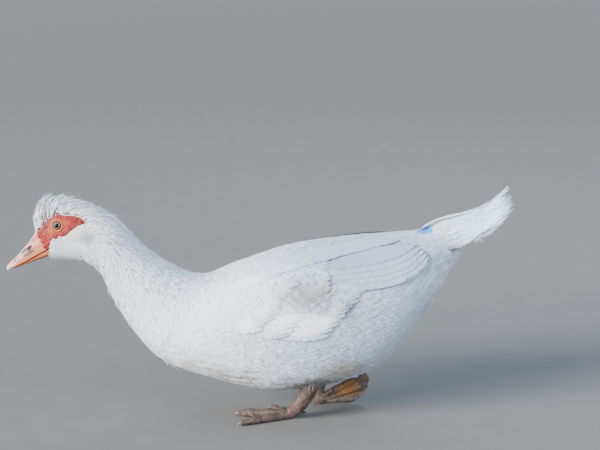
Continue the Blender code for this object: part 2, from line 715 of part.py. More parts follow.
def web(first, second, reach, draw_in, collection):
    """The skin between two toes' paths, with its free edge drawn in."""
    rows = []
    for k in range(1, WEB_ROWS + 1):
        share = reach * k / WEB_ROWS
        a, b = along_toe(first, share), along_toe(second, share)
        middle = (a + b) / 2 + (first[0] - (a + b) / 2) * (draw_in * share)
        rows.append([a, (a + middle) / 2, middle, (middle + b) / 2, b])
    normal = (first[-1] - first[0]).cross(second[-1] - second[0]).normalized()
    blade("web", rows, [WEB_THICKNESS] * len(rows), [normal] * len(rows), collection)


def numbered_path(numbers):
    return [Vector(n[:3]) * MM for n in numbers], [n[3] * MM for n in numbers]


def make_leg(side, parts, cutters, body_room, feathered, bare):
    """The thigh, and the bare leg as one piece from the hock to the claws."""
    name, shape = ("left" if side == LEFT else "right"), LEGS[side]
    thigh = tube("thigh_" + name, *numbered_path(shape["thigh"]), parts, 16)
    leg = tube("leg_" + name, *numbered_path(shape["shank"]), parts, 12)
    pieces = make_collection("foot pieces")
    start = Vector(shape["ball"]) * MM
    ball("ball", start, BALL_SIZE, pieces, 7)
    paths = []
    for tip, radius in zip(shape["toes"], TOE_RADII):
        path, radii = toe_path(start, Vector(tip) * MM, radius * MM)
        tube("toe", path, radii, pieces)
        paths.append(path)
    for first, second in zip(paths, paths[1:]):
        web(first, second, *shape["web"], pieces)
    tube("hind toe", *numbered_path(shape["hind toe"]), pieces, 7)
    join(leg, pieces)
    path, radii = numbered_path(shape["shank"])
    path[0].z += GAP
    cut(thigh, [body_room, tube("shank room", path, [radius + GAP for radius in radii], cutters, 12)])
    cut(leg, [body_room])
    thigh.data.materials.append(feathered)
    leg.data.materials.append(bare)


def main():
    clear_scene()
    chance = random.Random(7)
    parts = make_collection("muscovy duck")
    cutters = make_collection("cutters")
    white = make_material("white plumage", WHITE, 0.75)
    bill_skin = make_material("bill", PINK_BILL, 0.45)
    eye_glass = make_material("eye", PALE_EYE, 0.1)
    leg_skin = make_material("leg skin", LEG_BUFF, 0.6)

    whole = HEAD_STATIONS + NECK_STATIONS[1:] + TORSO_STATIONS[1:] + TAIL_STATIONS[1:]
    body_room = body_length("body room", whole, cutters, 1.6 * GAP)
    make_head(parts, cutters, white, chance)
    make_eyes(parts, eye_glass)
    make_bill(parts, cutters, bill_skin)
    make_neck(parts, white, chance)
    make_torso(parts, white)
    make_tail(parts, white)
    for side in (LEFT, RIGHT):
        make_wing(side, parts, body_room, white)
        make_leg(side, parts, cutters, body_room, white, leg_skin)
    for piece in parts.objects:
        piece.data.shade_smooth()
        piece.data.set_sharp_from_angle(angle=SHARP_EDGE)
    for cutter in cutters.objects:
        cutter.hide_render = True
        cutter.display_type = "WIRE"


main()
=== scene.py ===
# The finish of a still, life-size white Muscovy duck hen, standing low in a creeping walk.
#
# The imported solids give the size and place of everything. One skin replaces the flesh, and over it lie
# small feathers strewn by Geometry Nodes, the long feathers of wings and tail, the bare red face, the
# bill, the eyes and the scaled feet. A place on the body is a station along it (0 at the bill's base, 14 at
# the tail's stem) and a turn round it: 0 is the left side, 90 degrees the back, 180 the right side and 270
# the belly.

import math

import bpy
import numpy as np
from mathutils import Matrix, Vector, noise


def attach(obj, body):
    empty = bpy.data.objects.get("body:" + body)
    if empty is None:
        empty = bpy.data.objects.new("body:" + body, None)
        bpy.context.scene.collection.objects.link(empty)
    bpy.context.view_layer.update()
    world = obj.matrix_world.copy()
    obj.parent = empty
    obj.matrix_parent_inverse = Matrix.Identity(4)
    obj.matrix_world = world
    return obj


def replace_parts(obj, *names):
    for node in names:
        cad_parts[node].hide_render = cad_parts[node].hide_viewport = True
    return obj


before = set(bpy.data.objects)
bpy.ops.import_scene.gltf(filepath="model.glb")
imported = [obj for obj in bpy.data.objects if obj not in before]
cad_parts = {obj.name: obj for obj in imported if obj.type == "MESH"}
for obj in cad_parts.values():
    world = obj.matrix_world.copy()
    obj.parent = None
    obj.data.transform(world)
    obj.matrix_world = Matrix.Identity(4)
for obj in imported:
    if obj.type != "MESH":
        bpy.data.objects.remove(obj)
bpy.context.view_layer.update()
print("frame:", len(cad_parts), "nodes")

mm = 0.001
bodyName = "root"

# Body sections, in mm: x and z of the top, x and z of the bottom, and half the width.
body = {
    "sections": (
        (-274.5, 238.0, -256.5, 203.5, 13.5),  # the bill's base
        (-270.5, 263.0, -246.0, 203.2, 21.0),
        (-249.0, 278.5, -230.0, 202.6, 25.2),
        (-211.0, 272.0, -211.0, 200.5, 28.0),
        (-175.0, 252.0, -192.5, 185.0, 28.5),
        (-144.0, 218.5, -179.0, 154.5, 32.5),
        (-102.0, 190.5, -151.0, 110.0, 46.0),
        (-64.0, 180.5, -117.5, 77.0, 62.0),
        (-22.0, 196.0, -63.0, 56.8, 75.0),
        (40.0, 218.5, 18.0, 38.8, 81.0),
        (110.0, 230.0, 94.0, 46.0, 77.0),
        (172.0, 235.5, 160.0, 73.5, 62.0),
        (212.0, 240.5, 212.0, 138.0, 40.0),
        (236.0, 251.5, 243.0, 189.0, 23.0),
        (262.0, 260.0, 266.0, 225.0, 11.0),  # the tail's stem
    ),
    "squareness": 2.25,  # 2 would make each section an ellipse
    "lowBelly": 0.13,  # how far below the middle a section is widest
}

wing = {
    # x, lowest and highest z of the folded wing in side view, in mm
    "outline": (
        (-60, 148, 165), (-48, 140, 173), (-26, 133, 183), (4, 131, 195), (36, 128.5, 203),
        (70, 127, 210), (94, 142, 214), (118, 176, 217), (145, 193, 219), (184, 205.5, 215),
    ),
    "rim": 1.3 * mm,
    "rise": 3.0 * mm,
}


def hexColour(code):
    # an sRGB hex value as the linear colour that shaders take
    channels = [int(code[i:i + 2], 16) / 255 for i in (1, 3, 5)]
    return (*(c / 12.92 if c <= 0.04045 else ((c + 0.055) / 1.055) ** 2.4 for c in channels), 1.0)


def addNode(tree, kind, inputs=None, **settings):
    # a node with its settings, and for each input a value or the socket that feeds it
    node = tree.nodes.new(kind)
    for name, value in settings.items():
        setattr(node, name, value)
    for key, value in (inputs or {}).items():
        if isinstance(value, bpy.types.NodeSocket):
            tree.links.new(value, node.inputs[key])
        else:
            node.inputs[key].default_value = value
    return node


def unit(v):
    return v / np.maximum(np.linalg.norm(v, axis=-1, keepdims=True), 1e-12)


def smooth(value, low, high):
    t = np.clip((value - low) / (high - low), 0, 1)
    return t * t * (3 - 2 * t)


def mixed(a, b, t):
    return a + (b - a) * t


def splined(rows, place):
    # Catmull-Rom through rows of numbers, at places counted in rows
    rows = np.asarray(rows, float)
    place = np.clip(np.asarray(place, float), 0, len(rows) - 1)
    i = np.minimum(place.astype(int), len(rows) - 2)
    t = (place - i)[..., None]
    p, q, r, s = (rows[np.clip(i + k, 0, len(rows) - 1)] for k in (-1, 0, 1, 2))
    return (2 * q + (r - p) * t + (2 * p - 5 * q + 4 * r - s) * t**2 + (3 * q - p - 3 * r + s) * t**3) / 2


def section(station):
    # centre and upward direction in side view, half height and half width
    numbers = splined(body["sections"], station) * mm
    top, bottom = numbers[..., 0:2], numbers[..., 2:4]
    tall = np.linalg.norm(top - bottom, axis=-1)
    return (top + bottom) / 2, (top - bottom) / tall[..., None], tall / 2, numbers[..., 4]


def bodyPoint(station, turn, grow=0.0):
    centre, up, high, half = section(station)
    power = 2 / body["squareness"]
    across = np.copysign(np.abs(np.cos(turn)) ** power, np.cos(turn))
    rise = np.copysign(np.abs(np.sin(turn)) ** power, np.sin(turn))
    level = (rise - body["lowBelly"] * (1 - rise**2)) * (high + grow)
    x = centre[..., 0] + up[..., 0] * level
    z = centre[..., 1] + up[..., 1] * level
    return np.stack([x, -across * (half + grow), z], axis=-1)


def bodyFrame(station, turn):
    # a place, its outward normal, and how it moves for each unit of station and of turn
    step = 1e-3
    along = (bodyPoint(station + step, turn) - bodyPoint(station - step, turn)) / (2 * step)
    upward = (bodyPoint(station, turn + step) - bodyPoint(station, turn - step)) / (2 * step)
    return bodyPoint(station, turn), unit(np.cross(along, upward)), along, upward


def seenAt(x, z):
    # station and turn of the left side's surface at a place in side view
    low, high = np.zeros_like(x), np.full_like(x, len(body["sections"]) - 1.0)
    for _ in range(24):
        middle = (low + high) / 2
        centre, up, _, _ = section(middle)
        ahead = (x - centre[..., 0]) * up[..., 1] - (z - centre[..., 1]) * up[..., 0]
        low, high = np.where(ahead > 0, middle, low), np.where(ahead > 0, high, middle)
    centre, up, tall, _ = section(low)
    level = ((x - centre[..., 0]) * up[..., 0] + (z - centre[..., 1]) * up[..., 1]) / tall
    k = body["lowBelly"]
    rise = np.clip((-1 + np.sqrt(1 + 4 * k * (k + np.clip(level, -0.985, 0.985)))) / (2 * k), -1, 1)
    return low, np.arcsin(np.copysign(np.abs(rise) ** (body["squareness"] / 2), rise))


def gridFaces(rows, columns, start=0, closed=False, flip=False):
    # quads over a grid of points, closed round its columns if asked
    i, j = np.meshgrid(np.arange(rows - 1), np.arange(columns - (0 if closed else 1)), indexing="ij")
    nextJ = (j + 1) % columns
    corners = [i * columns + j, (i + 1) * columns + j, (i + 1) * columns + nextJ, i * columns + nextJ]
    quads = np.stack(corners[::-1] if flip else corners, axis=-1).reshape(-1, 4) + start
    return quads.tolist()


def unitBall(rows, columns):
    # rings of a ball from its upper pole to its lower one, not quite closed at either
    polar, angle = np.meshgrid(np.linspace(0.01, np.pi - 0.01, rows),
                               np.linspace(0, 2 * np.pi, columns, endpoint=False), indexing="ij")
    return np.stack([np.sin(polar) * np.cos(angle), np.sin(polar) * np.sin(angle), np.cos(polar)], -1)


def meshObject(name, points, faces, numbers=None, corners=None):
    # numbers are values for each point, corners the OFBake place of each point
    mesh = bpy.data.meshes.new(name)
    mesh.from_pydata(np.asarray(points).tolist(), [], faces)
    mesh.shade_smooth()
    for key, values in (numbers or {}).items():
        values = np.asarray(values, np.float32)
        vector = values.ndim == 2
        mesh.attributes.new(key, "FLOAT_VECTOR" if vector else "FLOAT", "POINT")
        mesh.attributes[key].data.foreach_set("vector" if vector else "value", values.ravel())
    if corners is not None:
        places = np.asarray(corners, np.float32)
        order = np.zeros(len(mesh.loops), np.int32)
        mesh.loops.foreach_get("vertex_index", order)
        mesh.uv_layers.new(name="OFBake").data.foreach_set("uv", places[order].ravel())
    made = bpy.data.objects.new(name, mesh)
    bpy.context.scene.collection.objects.link(made)
    return made


def settled(thing, name):
    # the evaluated mesh as a plain object, in place of the one with modifiers
    graph = bpy.context.evaluated_depsgraph_get()
    mesh = bpy.data.meshes.new_from_object(thing.evaluated_get(graph))
    bpy.data.objects.remove(thing, do_unlink=True)
    made = bpy.data.objects.new(name, mesh)
    bpy.context.scene.collection.objects.link(made)
    return made


def finishPiece(piece, material=None):
    if material:
        piece.data.materials.clear()
        piece.data.materials.append(material)
    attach(piece, bodyName)
    print("piece:", piece.name, sum(len(f.vertices) - 2 for f in piece.data.polygons), "triangles")
    return piece


# The red skin's outline in side view, from its tip behind the eye forwards over it and back below, in mm.
face = {
    "outline": (
        (-210.5, 256.2), (-218.7, 261.5), (-226.6, 262.8), (-234.2, 262.9), (-242.6, 263.6), (-250.5, 260.4),
        (-259.3, 253.1), (-264, 246.8), (-268, 242.5), (-271.8, 237.6), (-270.6, 231.5), (-268.8, 226),
        (-266.6, 220.8), (-262.2, 217), (-257.6, 218.9), (-255.8, 225), (-255.2, 231), (-246.6, 233),
        (-238.5, 235.2), (-232.4, 239.9), (-225.5, 246), (-219.7, 249.9), (-213.4, 252.3),
    ),
    "beads": (  # x, z and radius of its larger beads, in mm
        (-269, 235, 2.6), (-264.5, 229, 2.4), (-262, 222.8, 2.8), (-258, 226.5, 2.2), (-260.5, 238, 2.2),
        (-254.5, 231.8, 1.9), (-266.5, 241, 1.8), (-252, 259, 1.7), (-244.5, 262, 1.4), (-232, 262, 1.4),
        (-226, 260.5, 1.7), (-219.5, 259, 1.6), (-215, 255.5, 1.6), (-224, 249.5, 1.4), (-231, 243, 1.5),
        (-238, 238, 1.4), (-246, 236, 1.6), (-259, 247.5, 1.6),
    ),
    "sunk": 0.7 * mm,  # below the tips of the feathers round it
    "pebbleSize": 1.5 * mm,
    "pebbleHeight": 0.5 * mm,
    "looseBeads": 34,
}
eye = {
    "place": (-243.5 * mm, 250.5 * mm),
    "radius": 7.2 * mm,
    "proud": 1.5 * mm,
    "cornea": 0.45 * mm,
    "pupilShift": (-0.25 * mm, 0.1 * mm),  # the bird looks a little forwards
    # the lids: distance from the eye's axis and height over the face, in mm
    "lid": ((4.9, -1.8), (5.2, -0.8), (5.5, -0.1), (6.0, 0.45), (6.6, 0.7), (7.3, 0.4), (7.9, -0.3)),
}


def closedOutline(points, count):
    rows = np.asarray(points + points[:3], float) * mm
    rows = np.concatenate([np.asarray(points[-1:], float) * mm, rows])
    return splined(rows, np.linspace(1, len(points) + 1, count, endpoint=False))


maskOutline = closedOutline(face["outline"], 360)


def outsideMask(x, z):
    # how far a place in side view lies outside the red skin's outline, less than 0 inside it
    a, b = maskOutline, np.roll(maskOutline, -1, axis=0)
    p = np.stack([x.ravel(), z.ravel()], axis=-1)[:, None, :]
    edge = b - a
    t = np.clip(((p - a) * edge).sum(-1) / (edge**2).sum(-1), 0, 1)
    away = np.sqrt((((a + edge * t[..., None]) - p) ** 2).sum(-1).min(axis=1))
    over = (a[:, 1] > p[..., 1]) != (b[:, 1] > p[..., 1])
    crossing = a[:, 0] + (p[..., 1] - a[:, 1]) / np.where(edge[:, 1] == 0, 1e-12, edge[:, 1]) * edge[:, 0]
    inside = (over & (p[..., 0] < crossing)).sum(axis=1) % 2 == 1
    return np.where(inside, -away, away).reshape(x.shape)


# Markings of the plumage and painted shade on it: centre in mm (the same on both sides, unless its y is less
# than 0), reach, colour, how strong it is and how soft its edge is.
marksAndShade = {
    # painted bluish-grey shade over the hind body
    "painted shade on the hind part": ((150, 50, 120), (200, 120, 110), "#a2b2c4", 0.75, 0.65),
    "shaded back": ((140, 40, 222), (195, 110, 62), "#8ea2b8", 0.85, 0.8),
    "ear patch": ((-206, 26, 235), (17, 16, 14), "#a4abb2", 0.95, 0.98),
    "pink by the face": ((-242, 24, 250), (42, 12, 25), "#f0cfc8", 0.5, 0.35),
    "throat": ((-200, 0, 203), (42, 22, 13), "#958e88", 0.9, 0.8),
    # painted grey shade on the tuft of down hanging under the chest
    "painted shade on the keel's down": ((-79, 0, 68), (20, 16, 9), "#8d8781", 0.95, 0.5),
    # dirt and painted shade, darker towards the underside of the belly
    "belly": ((60, 0, 30), (155, 80, 52), "#857d73", 0.92, 0.7),
    "flank": ((112, 62, 72), (46, 34, 26), "#a89b86", 0.8, 0.8),
    # painted brownish-grey shade over the wing coverts
    "painted shade on the wing coverts": ((66, 80, 176), (56, 90, 29), "#82817f", 0.85, 0.9),
    "bright secondaries": ((60, 85, 141), (44, 80, 15), "#fbfdff", 0.97, 0.3),
    # painted dark shade in the groove behind the secondaries' tips
    "painted shade in the wing's hollow": ((116, 80, 160), (15, 80, 26), "#73808e", 0.75, 0.9),
    # painted bluish-grey shade on the folded wing's rear
    "painted shade on the wing tip": ((170, 60, 196), (60, 60, 26), "#a9bac9", 0.6, 0.9),
    # painted bluish shade on the rump and the tail, lit by the sky alone
    "rump": ((195, 62, 160), (45, 60, 60), "#b9cee2", 0.7, 0.9),
    "tail": ((290, 20, 262), (60, 50, 60), "#cae2f5", 0.75, 0.6),
    "hem of the thigh": ((74, 40, 53), (44, 42, 21), "#5d554d", 0.95, 0.45),
    "dye round its mark": ((212, -4, 239), (30, 26, 12), "#9bd2f2", 0.8, 0.9),
    "dye": ((211, -4, 241), (17, 18, 5.5), "#1298de", 1.0, 0.5),
}


def buildMarksAndShade():
    # one group for skin, feathers and vanes, so that their colours agree
    tree = bpy.data.node_groups.new("plumage marks and painted shade", "ShaderNodeTree")
    tree.interface.new_socket("Colour", in_out="OUTPUT", socket_type="NodeSocketColor")
    place = addNode(tree, "ShaderNodeTexCoord").outputs["Object"]
    parts = addNode(tree, "ShaderNodeSeparateXYZ", {0: place}).outputs
    side = addNode(tree, "ShaderNodeMath", {0: parts[1]}, operation="ABSOLUTE").outputs[0]
    folded = addNode(tree, "ShaderNodeCombineXYZ", {0: parts[0], 1: side, 2: parts[2]}).outputs[0]
    ragged = addNode(tree, "ShaderNodeTexNoise", {"Vector": place, "Scale": 1 / (7 * mm), "Detail": 3.0})
    wander = addNode(tree, "ShaderNodeMath", {0: ragged.outputs[0], 1: 0.7, 2: -0.35}, operation="MULTIPLY_ADD")
    broad = addNode(tree, "ShaderNodeTexNoise", {"Vector": place, "Scale": 1 / (60 * mm), "Detail": 2.0})
    whites = {6: hexColour("#fafbfb"), 7: hexColour("#dfe9f4"), 0: broad.outputs[0]}
    colour = addNode(tree, "ShaderNodeMix", whites, data_type="RGBA").outputs[2]
    # soiled wisps along the lie of the lower feathers: dirt and painted shade, stronger towards the bottom
    drawn = addNode(tree, "ShaderNodeVectorMath", {0: place, 1: (32.0, 90.0, 140.0)}, operation="MULTIPLY")
    wisps = addNode(tree, "ShaderNodeTexNoise", {"Vector": drawn.outputs[0], "Scale": 1.0, "Detail": 4.0})
    wisps = addNode(tree, "ShaderNodeMapRange", {"Value": wisps.outputs[0], "From Min": 0.46, "From Max": 0.66})
    low = {"Value": parts[2], "From Min": 130 * mm, "From Max": 45 * mm, "To Max": 0.95}
    low = addNode(tree, "ShaderNodeMapRange", low, interpolation_type="SMOOTHSTEP").outputs[0]
    share = addNode(tree, "ShaderNodeMath", {0: wisps.outputs[0], 1: low}, operation="MULTIPLY").outputs[0]
    colour = addNode(tree, "ShaderNodeMix", {0: share, 6: colour, 7: hexColour("#8f867b")}, data_type="RGBA").outputs[2]
    for centre, reach, code, strength, edge in marksAndShade.values():
        source = place if centre[1] < 0 else folded
        away = addNode(tree, "ShaderNodeVectorMath", {0: source, 1: [c * mm for c in centre]}, operation="SUBTRACT")
        share = {0: away.outputs[0], 1: [r * mm for r in reach]}
        away = addNode(tree, "ShaderNodeVectorMath", share, operation="DIVIDE")
        far = addNode(tree, "ShaderNodeVectorMath", {0: away.outputs[0]}, operation="LENGTH")
        uneven = addNode(tree, "ShaderNodeMath", {0: far.outputs["Value"], 1: wander.outputs[0]}, operation="ADD")
        ends = {"Value": uneven.outputs[0], "From Min": 1.0, "From Max": 1 - edge, "To Min": 0.0, "To Max": strength}
        amount = addNode(tree, "ShaderNodeMapRange", ends, interpolation_type="SMOOTHSTEP")
        layers = {0: amount.outputs[0], 6: colour, 7: hexColour(code)}
        colour = addNode(tree, "ShaderNodeMix", layers, data_type="RGBA").outputs[2]
    result = addNode(tree, "NodeGroupOutput")
    tree.links.new(colour, result.inputs[0])
    return tree


def newMaterial(name, **constants):
    # a Principled shader with its constant sockets set
    material = bpy.data.materials.new(name)
    material.use_nodes = True
    shader = material.node_tree.nodes["Principled BSDF"]
    for key, value in constants.items():
        shader.inputs[key.replace("_", " ")].default_value = value
    return material, material.node_tree, shader


def downFinish(marksAndShadeTree):
    # Down and bare white skin between the feather roots: matt and uneven, the ground that the coat hides.
    material, tree, shader = newMaterial("downy skin", Roughness=0.9)
    base = addNode(tree, "ShaderNodeGroup", node_tree=marksAndShadeTree).outputs[0]
    place = addNode(tree, "ShaderNodeTexCoord").outputs["Object"]
    fluff = addNode(tree, "ShaderNodeTexNoise", {"Vector": place, "Scale": 1 / (1.2 * mm), "Detail": 4.0})
    shade = {0: 1.0, 6: base, 7: hexColour("#dfe0e2")}
    colour = addNode(tree, "ShaderNodeMix", shade, data_type="RGBA", blend_type="MULTIPLY")
    tree.links.new(colour.outputs[2], shader.inputs["Base Color"])
    bump = addNode(tree, "ShaderNodeBump", {"Height": fluff.outputs[0], "Strength": 0.6, "Distance": 0.6 * mm})
    tree.links.new(bump.outputs[0], shader.inputs["Normal"])
    return material


def featherFinish(marksAndShadeTree):
    # White keratin feather, its barbs combed into a vane: matt with a soft sheen, each one a shade apart
    # from the next, with painted shade towards its root and on the edge that its neighbour covers. The barbs
    # are drawn 0.9 mm apart, coarser than the real 0.4 mm, so that they show.
    material, tree, shader = newMaterial("combed white feather", Roughness=0.62, Sheen_Weight=0.35)
    shader.inputs["Sheen Roughness"].default_value = 0.5
    base = addNode(tree, "ShaderNodeGroup", node_tree=marksAndShadeTree).outputs[0]
    tone = addNode(tree, "ShaderNodeAttribute", attribute_name="tone").outputs["Fac"]
    share = addNode(tree, "ShaderNodeAttribute", attribute_name="share").outputs["Fac"]
    across = addNode(tree, "ShaderNodeAttribute", attribute_name="across").outputs["Fac"]
    edge = addNode(tree, "ShaderNodeAttribute", attribute_name="edge").outputs["Fac"]
    tones = addNode(tree, "ShaderNodeMapRange", {"Value": tone, "To Min": 0.84, "To Max": 1.02}).outputs[0]
    # painted shade towards the root, which the feathers above cover
    rootShade = addNode(tree, "ShaderNodeMapRange", {"Value": share, "From Max": 0.6, "To Min": 0.7, "To Max": 1.0})
    shade = addNode(tree, "ShaderNodeMath", {0: tones, 1: rootShade.outputs[0]}, operation="MULTIPLY").outputs[0]
    colour = addNode(tree, "ShaderNodeVectorMath", {0: base, "Scale": shade}, operation="SCALE")
    # painted shade on the edge that the neighbour covers
    depth = addNode(tree, "ShaderNodeMath", {0: edge, 1: 0.38}, operation="MULTIPLY").outputs[0]
    layers = {0: depth, 6: colour.outputs[0], 7: hexColour("#a9b6c6")}
    colour = addNode(tree, "ShaderNodeMix", layers, data_type="RGBA")
    tree.links.new(colour.outputs[2], shader.inputs["Base Color"])
    length = addNode(tree, "ShaderNodeAttribute", attribute_name="long").outputs["Fac"]
    slant = addNode(tree, "ShaderNodeMath", {0: across}, operation="ABSOLUTE").outputs[0]
    slant = addNode(tree, "ShaderNodeMath", {0: slant, 1: -6 * mm}, operation="MULTIPLY").outputs[0]
    way = addNode(tree, "ShaderNodeMath", {0: share, 1: length, 2: slant}, operation="MULTIPLY_ADD").outputs[0]
    phase = addNode(tree, "ShaderNodeMath", {0: way, 1: 2 * math.pi / (0.9 * mm)}, operation="MULTIPLY").outputs[0]
    barbs = addNode(tree, "ShaderNodeMath", {0: phase}, operation="SINE").outputs[0]
    bump = addNode(tree, "ShaderNodeBump", {"Height": barbs, "Strength": 0.35, "Distance": 0.12 * mm})
    tree.links.new(bump.outputs[0], shader.inputs["Normal"])
    return material


marksAndShadeTree = buildMarksAndShade()
downMaterial = downFinish(marksAndShadeTree)
featherMaterial = featherFinish(marksAndShadeTree)

# The small feathers. Each shape is a closed flat form in shares of its half width and length, with its
# height in mm apart, so that it can be bent over the body before it is given its thickness.
tufts = {
    "contour": {  # a rounded vane whose tip frays into three ridged barbs
        "points": (
            (-0.45, 0, 0), (0, 0, 0.5), (0.45, 0, 0), (-1, 0.45, 0), (0, 0.45, 0.5), (1, 0.45, 0),
            (-0.85, 0.8, 0), (-0.57, 0.82, 0.3), (-0.28, 0.85, 0), (0, 0.84, 0.35), (0.28, 0.85, 0),
            (0.57, 0.82, 0.3), (0.85, 0.8, 0), (-0.6, 0.94, 0), (0.03, 1, 0), (0.62, 0.95, 0),
        ),
        "faces": (
            (0, 1, 4, 3), (1, 2, 5, 4), (3, 4, 8, 7, 6), (4, 10, 9, 8), (4, 5, 12, 11, 10),
            (6, 7, 13), (7, 8, 13), (8, 9, 14), (9, 10, 14), (10, 11, 15), (11, 12, 15),
            (0, 3, 5, 2), (3, 6, 8, 10, 12, 5), (6, 13, 8), (8, 14, 10), (10, 15, 12), (0, 2, 1),
        ),
    },
    "plume": {  # a narrow pointed one, for head, neck and down
        "points": (
            (-0.7, 0, 0), (0, 0, 0.5), (0.7, 0, 0), (-1, 0.35, 0), (0, 0.35, 0.6), (1, 0.35, 0),
            (-0.6, 0.7, 0), (0, 0.7, 0.4), (0.6, 0.7, 0), (0, 1, 0),
        ),
        "faces": (
            (0, 1, 4, 3), (1, 2, 5, 4), (3, 4, 7, 6), (4, 5, 8, 7), (6, 7, 9), (7, 8, 9),
            (0, 3, 5, 2), (3, 6, 8, 5), (6, 9, 8), (0, 2, 1),
        ),
    },
}


def makeTuft(name):
    shape = tufts[name]
    points = np.array(shape["points"], float)
    flat = points * (0.5, 1, 0)
    numbers = {"across": points[:, 0], "share": points[:, 1], "rise": points[:, 2] * mm}
    made = meshObject("tuft " + name, flat, shape["faces"], numbers)
    made.data.set_sharp_from_angle(angle=math.radians(60))  # its rim, where the two faces meet
    return made


def plumageTree():
    # strews tufts over a guide, bends each over the form beneath and lifts it from root to tip
    tree = bpy.data.node_groups.new("plumage", "GeometryNodeTree")
    wanted = (
        ("Guide", "Geometry"), ("Tuft", "Object"), ("Form", "Object"), ("Spacing", "Float"), ("Unruly", "Float"),
        ("Sink", "Float"), ("Softness", "Float"), ("Seed", "Int"), ("Finish", "Material"),
    )
    for label, kind in wanted:
        tree.interface.new_socket(label, in_out="INPUT", socket_type="NodeSocket" + kind)
    tree.interface.new_socket("Coat", in_out="OUTPUT", socket_type="NodeSocketGeometry")
    asked = addNode(tree, "NodeGroupInput").outputs

    def read(label, kind="FLOAT_VECTOR"):
        return addNode(tree, "GeometryNodeInputNamedAttribute", {"Name": label}, data_type=kind).outputs[0]

    def chance(low, high, offset):
        seed = addNode(tree, "ShaderNodeMath", {0: asked["Seed"], 1: float(offset)}, operation="ADD").outputs[0]
        sockets = {2: low, 3: high, "Seed": seed}
        return addNode(tree, "FunctionNodeRandomValue", sockets, data_type="FLOAT").outputs[1]

    square = addNode(tree, "ShaderNodeMath", {0: asked["Spacing"], 1: 2.0}, operation="POWER").outputs[0]
    crowd = addNode(tree, "ShaderNodeMath", {0: 3.5, 1: square}, operation="DIVIDE").outputs[0]
    strewn = addNode(tree, "GeometryNodeDistributePointsOnFaces", {
        "Mesh": asked["Guide"], "Distance Min": asked["Spacing"], "Density Max": crowd,
        "Density Factor": read("keep", "FLOAT"), "Seed": asked["Seed"],
    }, distribute_method="POISSON")
    points = strewn.outputs["Points"]
    for label, value in (("tone", chance(0.0, 1.0, 1)), ("lift", chance(0.45, 1.3, 2))):
        entry = {"Geometry": points, "Name": label, "Value": value}
        points = addNode(tree, "GeometryNodeStoreNamedAttribute", entry, domain="POINT").outputs[0]
    stray = [addNode(tree, "ShaderNodeMath", {0: chance(-1.0, 1.0, 3 + k), 1: asked["Unruly"]}, operation="MULTIPLY")
             for k in range(3)]
    stray = addNode(tree, "ShaderNodeCombineXYZ", {k: node.outputs[0] for k, node in enumerate(stray)}).outputs[0]
    heading = addNode(tree, "ShaderNodeVectorMath", {0: read("lie"), 1: stray}, operation="ADD").outputs[0]
    axes = {"Primary Axis": strewn.outputs["Normal"], "Secondary Axis": heading}
    rotation = addNode(tree, "FunctionNodeAxesToRotation", axes, primary_axis="Z", secondary_axis="Y").outputs[0]
    grown = chance(0.8, 1.2, 6)
    size = [addNode(tree, "ShaderNodeMath", {0: read(label, "FLOAT"), 1: grown}, operation="MULTIPLY").outputs[0]
            for label in ("wide", "long")]
    scale = addNode(tree, "ShaderNodeCombineXYZ", {0: size[0], 1: size[1], 2: 1.0}).outputs[0]
    tuft = addNode(tree, "GeometryNodeObjectInfo", {"Object": asked["Tuft"]}).outputs["Geometry"]
    placed = {"Points": points, "Instance": tuft, "Rotation": rotation, "Scale": scale}
    placed = addNode(tree, "GeometryNodeInstanceOnPoints", placed).outputs[0]
    real = addNode(tree, "GeometryNodeRealizeInstances", {"Geometry": placed}).outputs[0]

    form = addNode(tree, "GeometryNodeObjectInfo", {"Object": asked["Form"]}).outputs["Geometry"]
    here = addNode(tree, "GeometryNodeInputPosition").outputs[0]
    ground = addNode(tree, "GeometryNodeSampleNearestSurface", {"Mesh": form, "Value": here}, data_type="FLOAT_VECTOR")
    outward = {"Mesh": form, "Value": read("out")}
    outward = addNode(tree, "GeometryNodeSampleNearestSurface", outward, data_type="FLOAT_VECTOR").outputs[0]
    share = read("share", "FLOAT")
    bend = addNode(tree, "ShaderNodeMath", {0: share, 1: 1.7}, operation="POWER").outputs[0]
    stand = addNode(tree, "ShaderNodeMath", {0: read("stand", "FLOAT"), 1: read("lift", "FLOAT")}, operation="MULTIPLY")
    stand = addNode(tree, "ShaderNodeMath", {0: stand.outputs[0], 1: bend}, operation="MULTIPLY").outputs[0]
    rooted = addNode(tree, "ShaderNodeMath", {0: share, 1: -1.0}, operation="ADD").outputs[0]
    rooted = addNode(tree, "ShaderNodeMath", {0: rooted, 1: asked["Sink"]}, operation="MULTIPLY").outputs[0]
    height = addNode(tree, "ShaderNodeMath", {0: stand, 1: rooted}, operation="ADD").outputs[0]
    height = addNode(tree, "ShaderNodeMath", {0: height, 1: read("rise", "FLOAT")}, operation="ADD").outputs[0]
    lifted = addNode(tree, "ShaderNodeVectorMath", {0: outward, "Scale": height}, operation="SCALE").outputs[0]
    place = addNode(tree, "ShaderNodeVectorMath", {0: ground.outputs[0], 1: lifted}, operation="ADD").outputs[0]
    bent = addNode(tree, "GeometryNodeSetPosition", {"Geometry": real, "Position": place}).outputs[0]

